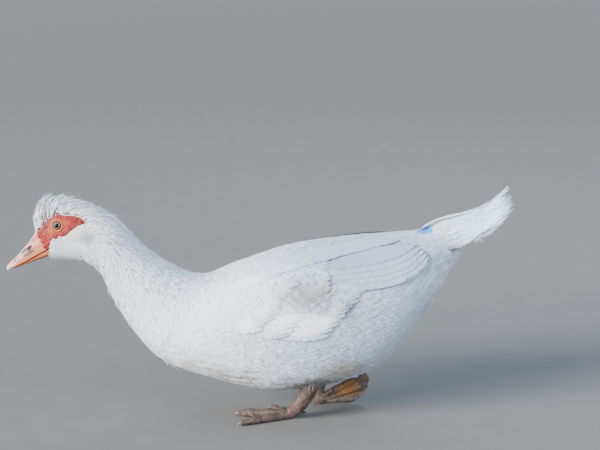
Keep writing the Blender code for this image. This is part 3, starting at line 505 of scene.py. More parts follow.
    # upper faces are shaded partly as the form beneath, so that many small tips read as one soft coat
    own = addNode(tree, "GeometryNodeInputNormal").outputs[0]
    facing = addNode(tree, "ShaderNodeVectorMath", {0: own, 1: outward}, operation="DOT_PRODUCT").outputs["Value"]
    upper = addNode(tree, "ShaderNodeMath", {0: facing, 1: 0.05}, operation="GREATER_THAN").outputs[0]
    amount = addNode(tree, "ShaderNodeMath", {0: upper, 1: asked["Softness"]}, operation="MULTIPLY").outputs[0]
    shaded = addNode(tree, "ShaderNodeMix", {0: amount, 4: own, 5: outward}, data_type="VECTOR").outputs[1]
    shaded = addNode(tree, "ShaderNodeVectorMath", {0: shaded}, operation="NORMALIZE").outputs[0]
    entry = {"Mesh": bent, "Custom Normal": shaded}
    bent = addNode(tree, "GeometryNodeSetMeshNormal", entry, mode="FREE", domain="CORNER").outputs[0]

    patch = {0: read("across", "FLOAT"), 1: share}
    patch = addNode(tree, "ShaderNodeCombineXYZ", patch).outputs[0]
    patch = addNode(tree, "ShaderNodeVectorMath", {0: patch, "Scale": 0.0015}, operation="SCALE").outputs[0]
    baked = addNode(tree, "ShaderNodeVectorMath", {0: read("rootPlace"), 1: patch}, operation="ADD").outputs[0]
    entry = {"Geometry": bent, "Name": "OFBake", "Value": baked}
    coat = addNode(tree, "GeometryNodeStoreNamedAttribute", entry, domain="CORNER", data_type="FLOAT2").outputs[0]
    coat = addNode(tree, "GeometryNodeSetMaterial", {"Geometry": coat, "Material": asked["Finish"]}).outputs[0]
    result = addNode(tree, "NodeGroupOutput")
    tree.links.new(coat, result.inputs[0])
    return tree


coatTree = plumageTree()
tuftShapes = {name: makeTuft(name) for name in tufts}


def growCoat(name, guide, form, tuft, seed, spacing, unruly=0.15, softness=0.6, sink=2.0):
    # the guide becomes the finished piece
    inputs = {
        "Tuft": tuftShapes[tuft], "Form": form, "Spacing": spacing * mm, "Unruly": unruly, "Sink": sink * mm,
        "Softness": softness, "Seed": seed, "Finish": featherMaterial,
    }
    modifier = guide.modifiers.new("plumage", "NODES")
    modifier.node_group = coatTree
    sockets = {item.name: item.identifier for item in coatTree.interface.items_tree}
    for label, value in inputs.items():
        modifier[sockets[label]] = value
    coat = settled(guide, name)
    for label in ("lie", "out", "rootPlace", "keep", "wide", "stand", "lift", "rise"):
        if label in coat.data.attributes:
            coat.data.attributes.remove(coat.data.attributes[label])
    return finishPiece(coat)


# Feathers by station: length on the back and below, width, how far the tips stand out on the back and
# below, in mm.
coat = {
    "sizes": (
        (5, 3.5, 1.6, 1.0, 0.3), (11, 6, 1.8, 2.6, 0.4), (14, 8, 1.9, 3.0, 0.5), (15, 9, 2.1, 3.0, 0.6),
        (16, 11, 2.4, 3.5, 0.9), (17, 12, 2.8, 3.4, 0.9), (18, 15, 3.6, 2.0, 0.7), (20, 18, 4.6, 1.0, 0.7),
        (21, 20, 5.0, 0.7, 0.9), (22, 21, 5.2, 0.8, 1.2), (23, 22, 5.4, 0.9, 1.5), (25, 25, 5.4, 0.9, 1.7),
        (27, 27, 5.2, 0.9, 1.8), (25, 25, 5.0, 0.6, 1.3), (17, 18, 4.6, 0.5, 0.8),
    ),
    # name: first and last station, first and last turn, tuft, spacing in mm, unruliness, softness
    "patches": {
        "coat_head": ((0.0, 3.75), (-90, 270), "plume", 1.15, 0.2, 0.35),
        "coat_neck": ((3.65, 6.45), (-90, 270), "plume", 1.5, 0.2, 0.45),
        "coat_breast": ((6.35, 8.3), (-90, 270), "plume", 1.9, 0.15, 0.6),
        "coat_belly": ((8.2, 10.9), (135, 405), "plume", 2.0, 0.22, 0.45),
        "coat_back": ((8.2, 12.4), (45, 135), "plume", 1.9, 0.14, 0.5),
        "coat_rump": ((10.8, 12.5), (128, 412), "plume", 2.0, 0.3, 0.4),
        "coat_tail": ((12.35, 14.0), (-90, 270), "plume", 1.8, 0.15, 0.5),
    },
    "depth": 3.2 * mm,  # of the skin below the feathers' surface on the body, and less on the head
    "headDepth": 1.9 * mm,
}


def insideWing(x, z, raise_=0.0):
    # how far a place in side view lies inside the folded wing's outline
    rows = np.array(wing["outline"], float) * mm
    low, high = np.interp(x, rows[:, 0], rows[:, 1]), np.interp(x, rows[:, 0], rows[:, 2])
    low = low + (high - low) * raise_ * smooth(x, 55 * mm, 100 * mm)
    return np.minimum(np.minimum(z - low, high - z), np.minimum(x - rows[0, 0], rows[-1, 0] - x))


def breastSwell(x, z):
    # the body's feathers rise over the wing's front edge, so that it slips in beneath them
    front = smooth(x, 22 * mm, -25 * mm)
    return 3.0 * mm * front * smooth(insideWing(x, z), -16 * mm, 1 * mm)


def crownward(station, turn):
    # the angle by which feathers on the sides of the head rise towards the crown, and which way that is
    rise = mixed(1.2, 0.3, smooth(station, 1.4, 3.4)) * smooth(station, 6.2, 4.2)
    return rise * smooth(np.sin(turn), 0.1, 0.5) * np.sqrt(np.abs(np.cos(turn))), np.sign(np.cos(turn))


def bodyGuide(name, stations, turns, fineness=3.0):
    rows = int((stations[1] - stations[0]) * 30 / fineness) + 2
    columns = int(abs(turns[1] - turns[0]) / 360 * 420 / fineness) + 2
    station, turn = np.meshgrid(np.linspace(*stations, rows), np.radians(np.linspace(*turns, columns)), indexing="ij")
    points, out, along, upward = bodyFrame(station, turn)
    rise, way = crownward(station, turn)
    lie = unit(along) * np.cos(rise)[..., None] + unit(upward) * (way * np.sin(rise))[..., None]
    x, z = points[..., 0], points[..., 2]
    numbers = splined(coat["sizes"], station) * mm
    back = smooth(np.sin(turn), 0.25, 0.85)
    ragged = 0.9 * mm * np.sin(x * 2300 + z * 700) * np.sin(z * 2100 - x * 900)
    bare = smooth(outsideMask(x, z) + ragged, -0.6 * mm, 0.9 * mm)
    bare = bare * smooth(np.hypot(x + 262 * mm, (z - 216.5 * mm) * 1.8), 7 * mm, 8 * mm)  # the mouth's corner
    keep = (1 - smooth(insideWing(x, z, 0.45), 7 * mm, 11 * mm)) * bare
    points = points + out * breastSwell(x, z)[..., None]
    places = np.stack(np.meshgrid(np.linspace(0.02, 0.98, rows), np.linspace(0.02, 0.98, columns), indexing="ij"), -1)
    values = {
        "lie": lie, "out": out, "keep": keep, "wide": numbers[..., 2],
        "long": mixed(numbers[..., 1], numbers[..., 0], back),
        "stand": mixed(numbers[..., 4], numbers[..., 3], back),
        "rootPlace": np.concatenate([places, places[..., :1] * 0], -1),
    }
    values = {key: value.reshape((-1, 3) if value.ndim == 3 else (-1,)) for key, value in values.items()}
    return meshObject(name, points.reshape(-1, 3), gridFaces(rows, columns), values)


stem = {
    # the cone of feathers under the tail: how far past the body's last station, and its share of that width
    "reach": ((0, 1), (10, 0.92), (20, 0.78), (30, 0.55), (38, 0.3), (42, 0.1)),
    "heading": np.array([0.80, 0, 0.60]),
}


def stemRings(reach, turn, inset=0.0):
    ring, out, _, _ = bodyFrame(np.full(turn.shape, 13.99), turn)
    middle = (ring.max(axis=0) + ring.min(axis=0)) / 2
    share = np.interp(reach, *np.array(stem["reach"]).T)[:, None, None]
    points = middle + (ring - out * inset - middle)[None] * share + stem["heading"] * reach[:, None, None] * mm
    lean = 0.9 * smooth(reach, 5, 40)[:, None, None]
    return points, unit(out[None] + stem["heading"] * lean)


def bodyForm():
    # the whole body's surface, drawn out past the tail's stem, for feathers to bend over
    rows, columns = 150, 110
    station, turn = np.meshgrid(np.linspace(0, 14, rows), np.radians(np.linspace(-90, 270, columns)), indexing="ij")
    points, out, _, _ = bodyFrame(station, turn)
    points = points + out * breastSwell(points[..., 0], points[..., 2])[..., None]
    beyond, beyondOut = stemRings(np.linspace(4, 42, 12), turn[0])
    points, out = np.concatenate([points, beyond]), np.concatenate([out, beyondOut])
    values = {"out": out.reshape(-1, 3)}
    return meshObject("body form", points.reshape(-1, 3), gridFaces(rows + 12, columns), values)


def stemGuide():
    # the cone under the tail, which the last feathers of the vent close
    rows, columns = 30, 60
    points, out = stemRings(np.linspace(0, 40, rows), np.radians(np.linspace(-90, 270, columns)))
    places = np.stack(np.meshgrid(np.linspace(0.02, 0.98, rows), np.linspace(0.02, 0.98, columns), indexing="ij"), -1)
    count = rows * columns
    values = {
        "lie": np.tile(stem["heading"], (count, 1)), "out": out.reshape(-1, 3), "keep": np.ones(count),
        "wide": np.full(count, 4.4 * mm), "long": np.full(count, 14 * mm), "stand": np.full(count, 1.2 * mm),
        "rootPlace": np.concatenate([places.reshape(-1, 2), np.zeros((count, 1))], axis=1),
    }
    return meshObject("stem guide", points.reshape(-1, 3), gridFaces(rows, columns), values)


def wingSurface(s, v, lift=0.0):
    # a place on the left wing: s along its outline's rows, v from its lower to its upper edge
    x, low, high = np.moveaxis(splined(wing["outline"], s), -1, 0) * mm
    station, turn = seenAt(x, mixed(low, high, v))
    point, out, along, _ = bodyFrame(station, turn)
    swell = wing["rim"] + wing["rise"] * np.sin(np.pi * v) * smooth(s, 0.0, 2.0)
    return point + out * (swell + lift)[..., None], out, along


legs = {
    "left": {
        "thigh": ((112, -46, 104, 12), (98, -47, 92, 16), (84, -45.5, 76, 14.5), (73, -42.5, 59, 12.5),
                  (67, -36.6, 41.5, 10.8)),
        "shank": ((73, -43, 59, 11.6), (69, -38.8, 48, 10.8), (66.6, -36.2, 41, 10.4), (63, -34, 34, 10.2),
                  (56.5, -29.6, 22, 9.4), (48.5, -25, 11.5, 8.2), (44, -23, 7.2, 6.6)),
        "ball": (44, -23, 6),
        "toes": ((-23, -54, 0), (-28, -14, 0), (15, 13, 0)),
        "web": (0.77, 0.12),  # share of the toes that it reaches, and how far its edge is drawn in
        "warm": (44, -23, 6, 12),
        "hindToe": ((48, -20, 11, 2.9), (55, -16, 8, 2.5), (60, -13, 5, 1.8), (64, -11, 2.6, 0.5)),
    },
    "right": {
        "thigh": ((128, 47, 100, 14), (116, 50, 86, 20), (102, 46, 70, 16), (92, 38, 56, 12), (86.4, 34.6, 46, 10)),
        "shank": ((92, 38, 56, 11.2), (88.5, 36, 49.5, 9.6), (86, 34.4, 45.5, 8.4), (84.5, 33.8, 36, 7.4),
                  (82.5, 33, 23, 6.4), (80.5, 32.4, 11.5, 6), (80, 32, 6.6, 5.6)),
        "ball": (80, 32, 6),
        "toes": ((140, 25, 45), (144.5, 31, 28), (132, 33, 6.5)),
        "web": (1.0, -0.06),
        "warm": (118, 29, 25, 20),  # middle and reach of the yellow part of its web
        "hindToe": ((84, 30, 12, 2.7), (90, 25.5, 15, 2.3), (95, 24, 18.5, 1.7), (98, 23.5, 22, 0.5)),
    },
    "ballSize": (7.2, 6.6, 5.8),
    "toeRadii": (4.8, 5.2, 4.5),
    "knobs": 0.7 * mm,
    # shares of a toe's length and how thick it is there, with a pad under each joint
    "toeSwell": ((0, 1.25), (0.2, 1.0), (0.4, 1.12), (0.55, 0.9), (0.72, 1.0), (0.85, 0.84), (0.95, 0.6), (1, 0.2)),
    "clawFrom": 0.9,
    "webThickness": 1.2 * mm,
    "scuteLength": 2.3 * mm,
    "voxel": 0.7 * mm,
}


def tubeGrid(path, radii, sides):
    # rings round a path, each turned upright
    heading = unit(np.gradient(path, axis=0))
    level = np.cross([0.0, 0.0, 1.0], heading)
    level = np.where(np.linalg.norm(level, axis=-1, keepdims=True) > 0.05, level, [0.0, 1.0, 0.0])
    level = unit(level)
    rise = unit(np.cross(heading, level))
    angle = np.linspace(0, 2 * np.pi, sides, endpoint=False)
    ring = level[:, None] * np.cos(angle)[None, :, None] + rise[:, None] * np.sin(angle)[None, :, None]
    return path[:, None] + ring * radii[:, None, None], ring, heading


def closedTube(points, start=0):
    # faces of a tube of rings, with a cap at each end
    rows, columns = points.shape[:2]
    faces = gridFaces(rows, columns, start, closed=True)
    faces.append([start + k for k in range(columns)])
    faces.append([start + (rows - 1) * columns + k for k in reversed(range(columns))])
    return faces


def joinShells(name, shells):
    # each shell is its points as rings, closed by closedTube
    points, faces = [], []
    for rings in shells:
        faces += closedTube(rings, sum(len(p) for p in points))
        points.append(rings.reshape(-1, 3))
    return meshObject(name, np.concatenate(points), faces)


def fused(source, name, voxel, smoothing):
    # one closed surface round overlapping shells
    remesh = source.modifiers.new("fuse", "REMESH")
    remesh.mode = "VOXEL"
    remesh.voxel_size = voxel
    soften = source.modifiers.new("soften", "SMOOTH")
    soften.factor = 0.5
    soften.iterations = smoothing
    made = settled(source, name)
    made.data.shade_smooth()
    return made


def thighGrid(side, grow=0.0, last=4.0, rows=40, sides=40):
    numbers = splined(legs[side]["thigh"], np.linspace(0, last, rows)) * mm
    return tubeGrid(numbers[:, :3], numbers[:, 3] + grow, sides)


def makeSkin():
    rows, columns = 160, 90
    station, turn = np.meshgrid(np.linspace(0.1, 14, rows), np.linspace(0, 2 * np.pi, columns, endpoint=False),
                                indexing="ij")
    points, out, _, _ = bodyFrame(station, turn)
    depth = mixed(coat["headDepth"], coat["depth"], smooth(station, 3.0, 6.0))
    shells = [points - out * depth[..., None]]
    shells.append(stemRings(np.linspace(-6, 38, 20), turn[0], coat["depth"])[0])
    for side in ("left", "right"):
        shells.append(thighGrid(side, -2 * mm, 3.0)[0])
        s, v = np.meshgrid(np.linspace(0.3, 8.8, 70), np.linspace(0, 1, 24), indexing="ij")
        v = mixed(0.05 + 0.5 * smooth(s, 4.0, 6.2), 0.95, v)  # the flank shows below the long feathers
        outer = wingSurface(s, v, -2.2 * mm)[0]
        inner = wingSurface(s, v, -9 * mm)[0]
        slab = np.concatenate([outer, inner[:, ::-1]], axis=1)
        if side == "right":
            slab = slab[:, ::-1] * (1, -1, 1)
        shells.append(slab)
    return fused(joinShells("skin shells", shells), "skin", 2.4 * mm, 4)


skin = makeSkin()
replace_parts(finishPiece(skin, downMaterial), "head", "neck", "torso", "thigh_left", "thigh_right")

form = bodyForm()
for number, (name, (stations, turns, *how)) in enumerate(coat["patches"].items()):
    tuft, spacing, unruly, softness = how
    guide = bodyGuide(name + " guide", stations, turns)
    growCoat(name, guide, form, tuft, 11 + number, spacing, unruly, softness)
growCoat("coat_stem", stemGuide(), form, "plume", 61, 1.7, 0.25, 0.5)


def barbs(paths, normal, half, thickness):
    # thin three-sided barbs along many paths at once: their points, faces, shares and sideways places
    count, rows = paths.shape[:2]
    heading = unit(np.gradient(paths, axis=1))
    across = unit(np.cross(normal, heading)) * half[..., None]
    ridge = unit(normal) * (thickness * np.linspace(1, 0.25, rows))[None, :, None]
    rings = np.stack([paths - across, paths + across, paths + ridge], axis=2)
    one = gridFaces(rows, 3, closed=True, flip=True) + [[0, 2, 1], [rows * 3 - 3, rows * 3 - 2, rows * 3 - 1]]
    faces = [[k * rows * 3 + c for c in f] for k in range(count) for f in one]
    share = np.broadcast_to(np.linspace(0, 1, rows)[None, :, None], (count, rows, 3))
    sideways = np.broadcast_to(np.array([-1.0, 1.0, 0.0]), (count, rows, 3))
    return rings.reshape(-1, 3), faces, share.ravel(), sideways.ravel()


# Locks of feathers that stand out of the coat. For each field: first and last station, how many rows,
# first and last turn, locks in a row; then their length, width and stand at the first and last row, in mm.
locks = {
    "fields": {
        "forehead": ((0.25, 1.35, 6), (22, 158, 13), (11, 4, 1.8), (16, 5, 7.8)),
        "crest": ((1.55, 3.3, 7), (22, 158, 13), (16, 5, 5.0), (19, 6, 3.4)),
        "nape": ((3.5, 6.0, 9), (20, 160, 10), (20, 6, 4.5), (19, 8, 2.5)),
        "throat": ((2.4, 5.6, 7), (212, 328, 8), (10, 5, 1.2), (14, 6, 2.2)),
        "keel": ((6.72, 7.12, 4), (258, 284, 4), (13, 6, 3.5), (16, 7, 5)),
        "flank": ((10.3, 11.3, 4), (-58, -30, 4), (12, 6, 2.2), (13, 6, 2.8)),
        "vent": ((11.6, 13.9, 7), (168, 372, 11), (20, 7, 2.0), (22, 7, 3.0)),
    },
    "strands": 9,  # in each lock
    "strandRows": 6,
    "strandHalf": 0.8 * mm,
}


def makeLocks():
    chance = np.random.default_rng(23)
    fields = []
    for (first, last, rowCount), (low, high, each), start, end in locks["fields"].values():
        for i in range(rowCount):
            at = i / (rowCount - 1)
            size = mixed(np.array(start), np.array(end), at)
            for j in range(each):
                turn = low + (high - low) * (j + 0.5 * (i % 2)) / (each - 0.5) + chance.uniform(-2.5, 2.5)
                fields.append((mixed(first, last, at) + chance.uniform(-0.08, 0.08), turn, *size))
    mirror = [(s, 180 - turn, *rest) for s, turn, *rest in fields if turn < -20]
    station, turn, length, width, stand = np.repeat(np.array(fields + mirror), locks["strands"], axis=0).T[..., None]
    count = len(station)
    turn = np.radians(turn)
    bare = outsideMask(*bodyPoint(station, turn)[..., (0, 2)].T)[0] > 0.5 * mm
    t = np.linspace(0, 1, locks["strandRows"])[None]
    _, _, along, upward = bodyFrame(station, turn)
    offset = chance.uniform(-0.5, 0.5, (count, 1)) * width * mm
    ahead = (chance.uniform(-0.15, 0.1, (count, 1)) + t * chance.uniform(0.75, 1.05, (count, 1))) * length * mm
    curl = chance.uniform(-0.5, 0.5, (count, 1)) * mm * t**2
    aside = offset * (1 - 0.88 * t) + curl
    rise, way = crownward(station, turn)
    place = station + ahead * np.cos(rise) / np.linalg.norm(along, axis=-1)
    toGo = np.maximum(np.abs(np.pi / 2 - turn), 0.01)  # a lock that climbs the head stops at its crown
    climbed = toGo * (1 - np.exp(-ahead * np.sin(rise) / np.linalg.norm(upward, axis=-1) / toGo))
    around = turn + way * climbed + aside / np.linalg.norm(upward, axis=-1)
    ground, normal, _, _ = bodyFrame(np.clip(place, 0, 13.99), around)
    top = smooth(np.abs(np.sin(turn)), 0.3, 0.9)
    high = np.repeat(chance.uniform(0.5, 1.45, count // locks["strands"]), locks["strands"])[:, None]
    high = high * chance.uniform(0.85, 1.1, (count, 1))
    lift = stand * mm * mixed(0.45, 1.0, top) * t**1.5 * high - 1.2 * mm * (1 - t) ** 2
    past = np.clip(place - 13.99, 0, None) * 26 * mm
    paths = ground + normal * lift[..., None] + past[..., None] * [0.8, 0, 0.6]
    half = locks["strandHalf"] * np.array([0.7, 1.0, 0.95, 0.8, 0.5, 0.1])[None] * np.ones((count, 1))
    paths, normal, half = paths[bare], normal[bare], half[bare]
    points, faces, share, sideways = barbs(paths, normal, half, 0.7 * mm)
    each = locks["strandRows"] * 3
    roots = np.stack([station[bare, 0] / 14, np.mod(turn[bare, 0] / (2 * np.pi), 1)], -1) * 0.96 + 0.02
    numbers = {
        "share": share, "across": sideways, "tone": np.repeat(chance.uniform(0, 1, len(roots)), each),
        "long": np.repeat(length[bare, 0] * mm, each),
    }
    places = np.repeat(roots, each, axis=0) + np.stack([sideways, share], -1) * 0.0015
    made = meshObject("coat_locks", points, faces, numbers, places)
    finishPiece(made, featherMaterial)


makeLocks()


def thighCoat(side):
    # feathers down the thigh, where it stands clear of the body
    rings, out, heading = thighGrid(side)
    x, z = rings[..., 0], rings[..., 2]
    keep = smooth(z, 57 * mm, 61 * mm) * smooth(z, 80 * mm, 74 * mm)
    rows, columns = rings.shape[:2]
    places = np.stack(np.meshgrid(np.linspace(0.02, 0.98, rows), np.linspace(0.02, 0.98, columns), indexing="ij"), -1)
    count = rows * columns
    values = {
        "lie": np.repeat(heading, columns, axis=0), "out": out.reshape(-1, 3), "keep": keep.ravel(),
        "wide": np.full(count, 2.8 * mm), "long": np.full(count, 13 * mm), "stand": np.full(count, 2.6 * mm),
        "rootPlace": np.concatenate([places.reshape(-1, 2), np.zeros((count, 1))], axis=1),
    }
    guide = meshObject("thigh guide", rings.reshape(-1, 3), gridFaces(rows, columns, closed=True), values)
    thighForm = meshObject("thigh form", rings.reshape(-1, 3), gridFaces(rows, columns, closed=True),
                           {"out": out.reshape(-1, 3)})
    growCoat("coat_thigh_" + side, guide, thighForm, "plume", 41, 1.6, 0.5)
    bpy.data.objects.remove(thighForm, do_unlink=True)


for side in ("left", "right"):
    thighCoat(side)

# The long feathers. For the first and last of each tier: (station, turn) of its root and of its tip. Then
# how many there are, their width in mm, and how high their tips lie over the body in mm.
tiers = {
    "primary": (((10.15, 37.0), (11.85, 32.0)), ((10.15, 33.0), (12.13, 25.0)), 5, 15, 2.6),
    "secondary": (((8.7, 8.5), (9.86, 1.0)), ((9.2, 33.0), (10.5, 29.0)), 11, 16, 3.4),
    "tertial": (((9.5, 36.0), (12.03, 30.0)), ((9.3, 52.0), (11.6, 56.0)), 5, 22, 4.4),
    "greater": (((8.3, 12.0), (9.15, 4.5)), ((8.9, 38.0), (9.8, 33.0)), 10, 15, 4.8),
    "median": (((8.0, 16.0), (8.72, 10.0)), ((8.65, 43.0), (9.3, 40.0)), 9, 15, 5.6),
    "scapular": (((7.5, 54.0), (8.75, 52.0)), ((9.1, 70.0), (11.1, 69.0)), 8, 20, 3.6),
}
vane = {
    # half width by share of the length
    "profile": (0.3, 0.62, 0.86, 0.98, 1.0, 0.96, 0.85, 0.62, 0.12),
    "rows": 44,
    "columns": 7,
    "thickness": 0.35 * mm,
    "camber": 0.09,  # how far its edges fall, as a share of its half width
    "rachis": 0.3 * mm,
    "sweep": 0.55,  # how far the barbs lean towards the tip
}


def vaneRows(centre, across, normal, half, edgeRise, chance, fray):
    # a long feather as a closed lens: a top of chevron rows, and an underside that shares its rim. Its
    # across points to the edge that its neighbour covers, and the other edge is raised over the next one
    rows, columns = len(centre), vane["columns"]
    k = np.linspace(-1, 1, columns)
    t = np.linspace(0, 1, rows)
    heading = unit(np.gradient(centre, axis=0))
    edges = np.ones((rows, 2))
    for side in (0, 1):
        for _ in range(chance.integers(2, 5)):  # splits between the barbs
            edges[chance.integers(4, rows - 4), side] -= chance.uniform(0.12, 0.5) * fray
        ragged = chance.uniform(0, 1, rows) * smooth(t, 0.55, 1.0) * fray
        edges[:, side] -= ragged * 0.6
    width = np.where(k[None, :] < 0, edges[:, :1], edges[:, 1:]) * half[:, None]
    offset = width * k[None, :]
    lean = vane["sweep"] * np.abs(offset) * (1 - 0.3 * t[:, None])
    fall = -vane["camber"] * half[:, None] * k[None, :] ** 2 - edgeRise * k[None, :]
    fall = fall + vane["rachis"] * np.maximum(0, 1 - np.abs(k[None, :]) * 6) * (1 - 0.7 * t[:, None])
    top = centre[:, None] + across[:, None] * offset[..., None] + heading[:, None] * lean[..., None]
    top = top + normal[:, None] * fall[..., None]
    under = centre - normal * (vane["thickness"] * (1 - 0.6 * t[:, None]))
    points = np.concatenate([top.reshape(-1, 3), under])
    faces = gridFaces(rows, columns)
    first = rows * columns
    for i in range(rows - 1):
        a, b = i * columns, (i + 1) * columns
        faces.append([a, first + i, first + i + 1, b])
        faces.append([first + i, a + columns - 1, b + columns - 1, first + i + 1])
    faces.append([*range(columns), first])
    faces.append([*range(first - 1, first - columns - 1, -1), first + rows - 1])
    if np.cross(heading[0], across[0]) @ normal[0] < 0:
        faces = [f[::-1] for f in faces]
    share = np.concatenate([np.repeat(t, columns), t])
    sideways = np.concatenate([np.tile(k, rows), np.zeros(rows)])
    return points, faces, share, sideways


class FeatherFan:
    # gathers long feathers into one piece, each with a cell of its own on OFBake
    def __init__(self, cells):
        self.points, self.faces, self.numbers, self.places = [], [], [], []
        self.cells, self.count, self.size = cells, 0, 0

    def add(self, shape, length, tone, frayed=False):
        points, faces, share, sideways = shape
        self.faces += [[self.size + k for k in f] for f in faces]
        self.size += len(points)
        self.points.append(points)
        # the edge that lies under the neighbour is in its shade
        edge = smooth(sideways, 0.1, 0.9) * (0 if frayed else 1)
        fixed = np.ones(len(points))
        self.numbers.append(np.stack([share, sideways, edge, fixed * tone, fixed * length]))
        column, row = self.count % self.cells, self.count // self.cells
        place = [(column + 0.5 + 0.45 * sideways) / self.cells, (row + 0.04 + 0.92 * share) / self.cells]
        self.places.append(np.stack(place, -1))
        self.count += 1 if frayed else 0

    def finish(self, name, mirrored=False):
        points = np.concatenate(self.points)
        faces = self.faces
        if mirrored:
            points = points * (1, -1, 1)
            faces = [f[::-1] for f in faces]
        numbers = dict(zip(("share", "across", "edge", "tone", "long"), np.concatenate(self.numbers, axis=1)))
        made = meshObject(name, points, faces, numbers, np.concatenate(self.places))
        made.data.set_sharp_from_angle(angle=math.radians(75))
        return finishPiece(made, featherMaterial)


def vaneFringe(centre, across, normal, half, chance, span, count, length):
    # loose barbs along both edges of a long feather, leaning towards its tip
    t = np.linspace(0, 1, len(centre))
    at = np.tile(np.sort(chance.uniform(*span, count)), 2)
    side = np.repeat([-1.0, 1.0], count)[:, None]

    def along(values):
        return np.stack([np.interp(at, t, values[:, k]) for k in range(3)], -1)

    heading = unit(along(unit(np.gradient(centre, axis=0))))
    width = np.interp(at, t, half)[:, None]
    out, up = unit(along(across)), unit(along(normal))
    start = along(centre) + out * side * width * 0.62
    lean = np.where(side < 0, chance.uniform(0.4, 0.8, side.shape), chance.uniform(0.15, 0.35, side.shape))
    lean = lean * (1.3 - at[:, None])
    reach = length * chance.uniform(0.6, 1.2, (2 * count, 1))
    u = np.linspace(0, 1, 5)[None, :, None]
    way = unit(heading + out * side * lean)[:, None]
    sag = up[:, None] * chance.uniform(-0.18, 0.1, (2 * count, 1))[..., None] * u**2
    paths = start[:, None] + (way * u + sag) * reach[:, None]
    thin = 0.5 * mm * np.array([1.0, 0.9, 0.75, 0.5, 0.12])[None] * chance.uniform(0.6, 1.2, (2 * count, 1))
    return barbs(paths, np.repeat(up[:, None], 5, axis=1), thin, 0.45 * mm)


def profileWidths(rows):
    place = np.linspace(0, len(vane["profile"]) - 1, rows)
    return splined([(w,) for w in vane["profile"]], place)[:, 0]


def wingTier(fan, chance, tier):
    first, last, count, width, tipLift = tiers[tier]
    reach = bodyPoint(last[1][0], math.radians(last[1][1]))
    start = bodyPoint(first[1][0], math.radians(first[1][1]))
    spacing = np.linalg.norm(reach - start) / (count - 1)
    rise = min((vane["thickness"] + 0.25 * mm) * width * mm / 2 / spacing, 1.6 * mm)
    rows = vane["rows"]
    t = np.linspace(0, 1, rows)
    for i in range(count):
        share = i / (count - 1)
        ends = [mixed(np.array(first[end]), np.array(last[end]), share) for end in (0, 1)]
        ends[1] = ends[1] + chance.uniform(-1, 1, 2) * (0.03, 0.5)
        station = mixed(ends[0][0], ends[1][0], t)
        turn = np.radians(mixed(ends[0][1], ends[1][1], t))
        point, normal, along, upward = bodyFrame(station, turn)
        heading = unit(np.gradient(point, axis=0))
        across = unit(np.cross(normal, heading))
        lift = mixed(0.6 * mm, tipLift * mm, np.minimum(1, 1.5 * t)) - 1.0 * mm * smooth(t, 0.8, 1.0)
        half = profileWidths(rows) * width * mm / 2 * chance.uniform(0.92, 1.08)
        length = np.linalg.norm(point[-1] - point[0])
        tone = chance.uniform(0, 1)
        centre = point + normal * lift[:, None]
        fan.add(vaneRows(centre, across, normal, half, rise, chance, 0.5), length, tone)
        fan.add(vaneFringe(centre, across, normal, half, chance, (0.8, 0.99), 8, 3.5 * mm), length, tone, True)


def makeWing(side):
    chance = np.random.default_rng(5 if side == "left" else 6)
    fan = FeatherFan(8)
    for tier in tiers:
        wingTier(fan, chance, tier)
    vanes = fan.finish("wing_feathers_" + side, side == "right")
    rows, columns = 90, 40
    s, v = np.meshgrid(np.linspace(0, 5.2, rows), np.linspace(0, 1, columns), indexing="ij")
    points, out, along = wingSurface(s, v)
    flip = np.array([1, -1 if side == "right" else 1, 1])
    keep = 1 - smooth(s, 4.4, 5.2) * smooth(v, 0.25, 0.0)
    places = np.stack(np.meshgrid(np.linspace(0.02, 0.98, rows), np.linspace(0.02, 0.98, columns), indexing="ij"), -1)
    count = rows * columns
    values = {
        "lie": unit(along).reshape(-1, 3) * flip, "out": out.reshape(-1, 3) * flip, "keep": keep.ravel(),
        "wide": np.full(count, 5.5 * mm), "long": np.full(count, 18 * mm), "stand": np.full(count, 1.0 * mm),
        "rootPlace": np.concatenate([places.reshape(-1, 2), np.zeros((count, 1))], axis=1),
    }
    faces = gridFaces(rows, columns, flip=side == "right")
    guide = meshObject("wing guide", points.reshape(-1, 3) * flip, faces, values)
    wideS, wideV = np.meshgrid(np.linspace(0, 9, 110), np.linspace(-0.12, 1.12, 50), indexing="ij")
    points, out, _ = wingSurface(wideS, wideV)
    wingForm = meshObject("wing form", points.reshape(-1, 3) * flip, gridFaces(110, 50, flip=side == "right"),
                          {"out": out.reshape(-1, 3) * flip})
    growCoat("coat_wing_" + side, guide, wingForm, "plume", 51, 1.9, 0.15, 0.6, 1.6)
    bpy.data.objects.remove(wingForm, do_unlink=True)
    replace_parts(vanes, "wing_" + side)


for side in ("left", "right"):
    makeWing(side)

tail = {
    # roots and tips of half of the fan, from the middle outwards, in mm
    "roots": ((222, 2.5, 245), (230, 10.5, 242), (236, 16.5, 235), (239, 19, 225), (239, 17, 212)),
    "tips": ((312.3, 3.5, 291), (312.5, 16.5, 279.5), (308.5, 28, 267.5), (299, 35, 256), (282, 36, 246)),
    # layers: feathers on each side, their share of the fan's length, how far their roots lie ahead and how
    # far they lie out over the fan in mm, and how long their loose barbs are in mm
    "layers": ((9, 0.99, 0, 0, 13), (8, 0.66, 16, 1.2, 5), (7, 0.44, 24, 2.2, 4)),
    "width": 18 * mm,
    "profile": (0.75, 0.92, 1.0, 1.0, 0.97, 0.9, 0.75, 0.5, 0.1),
    "sag": 10 * mm,
    "edgeRise": 0.7 * mm,
}


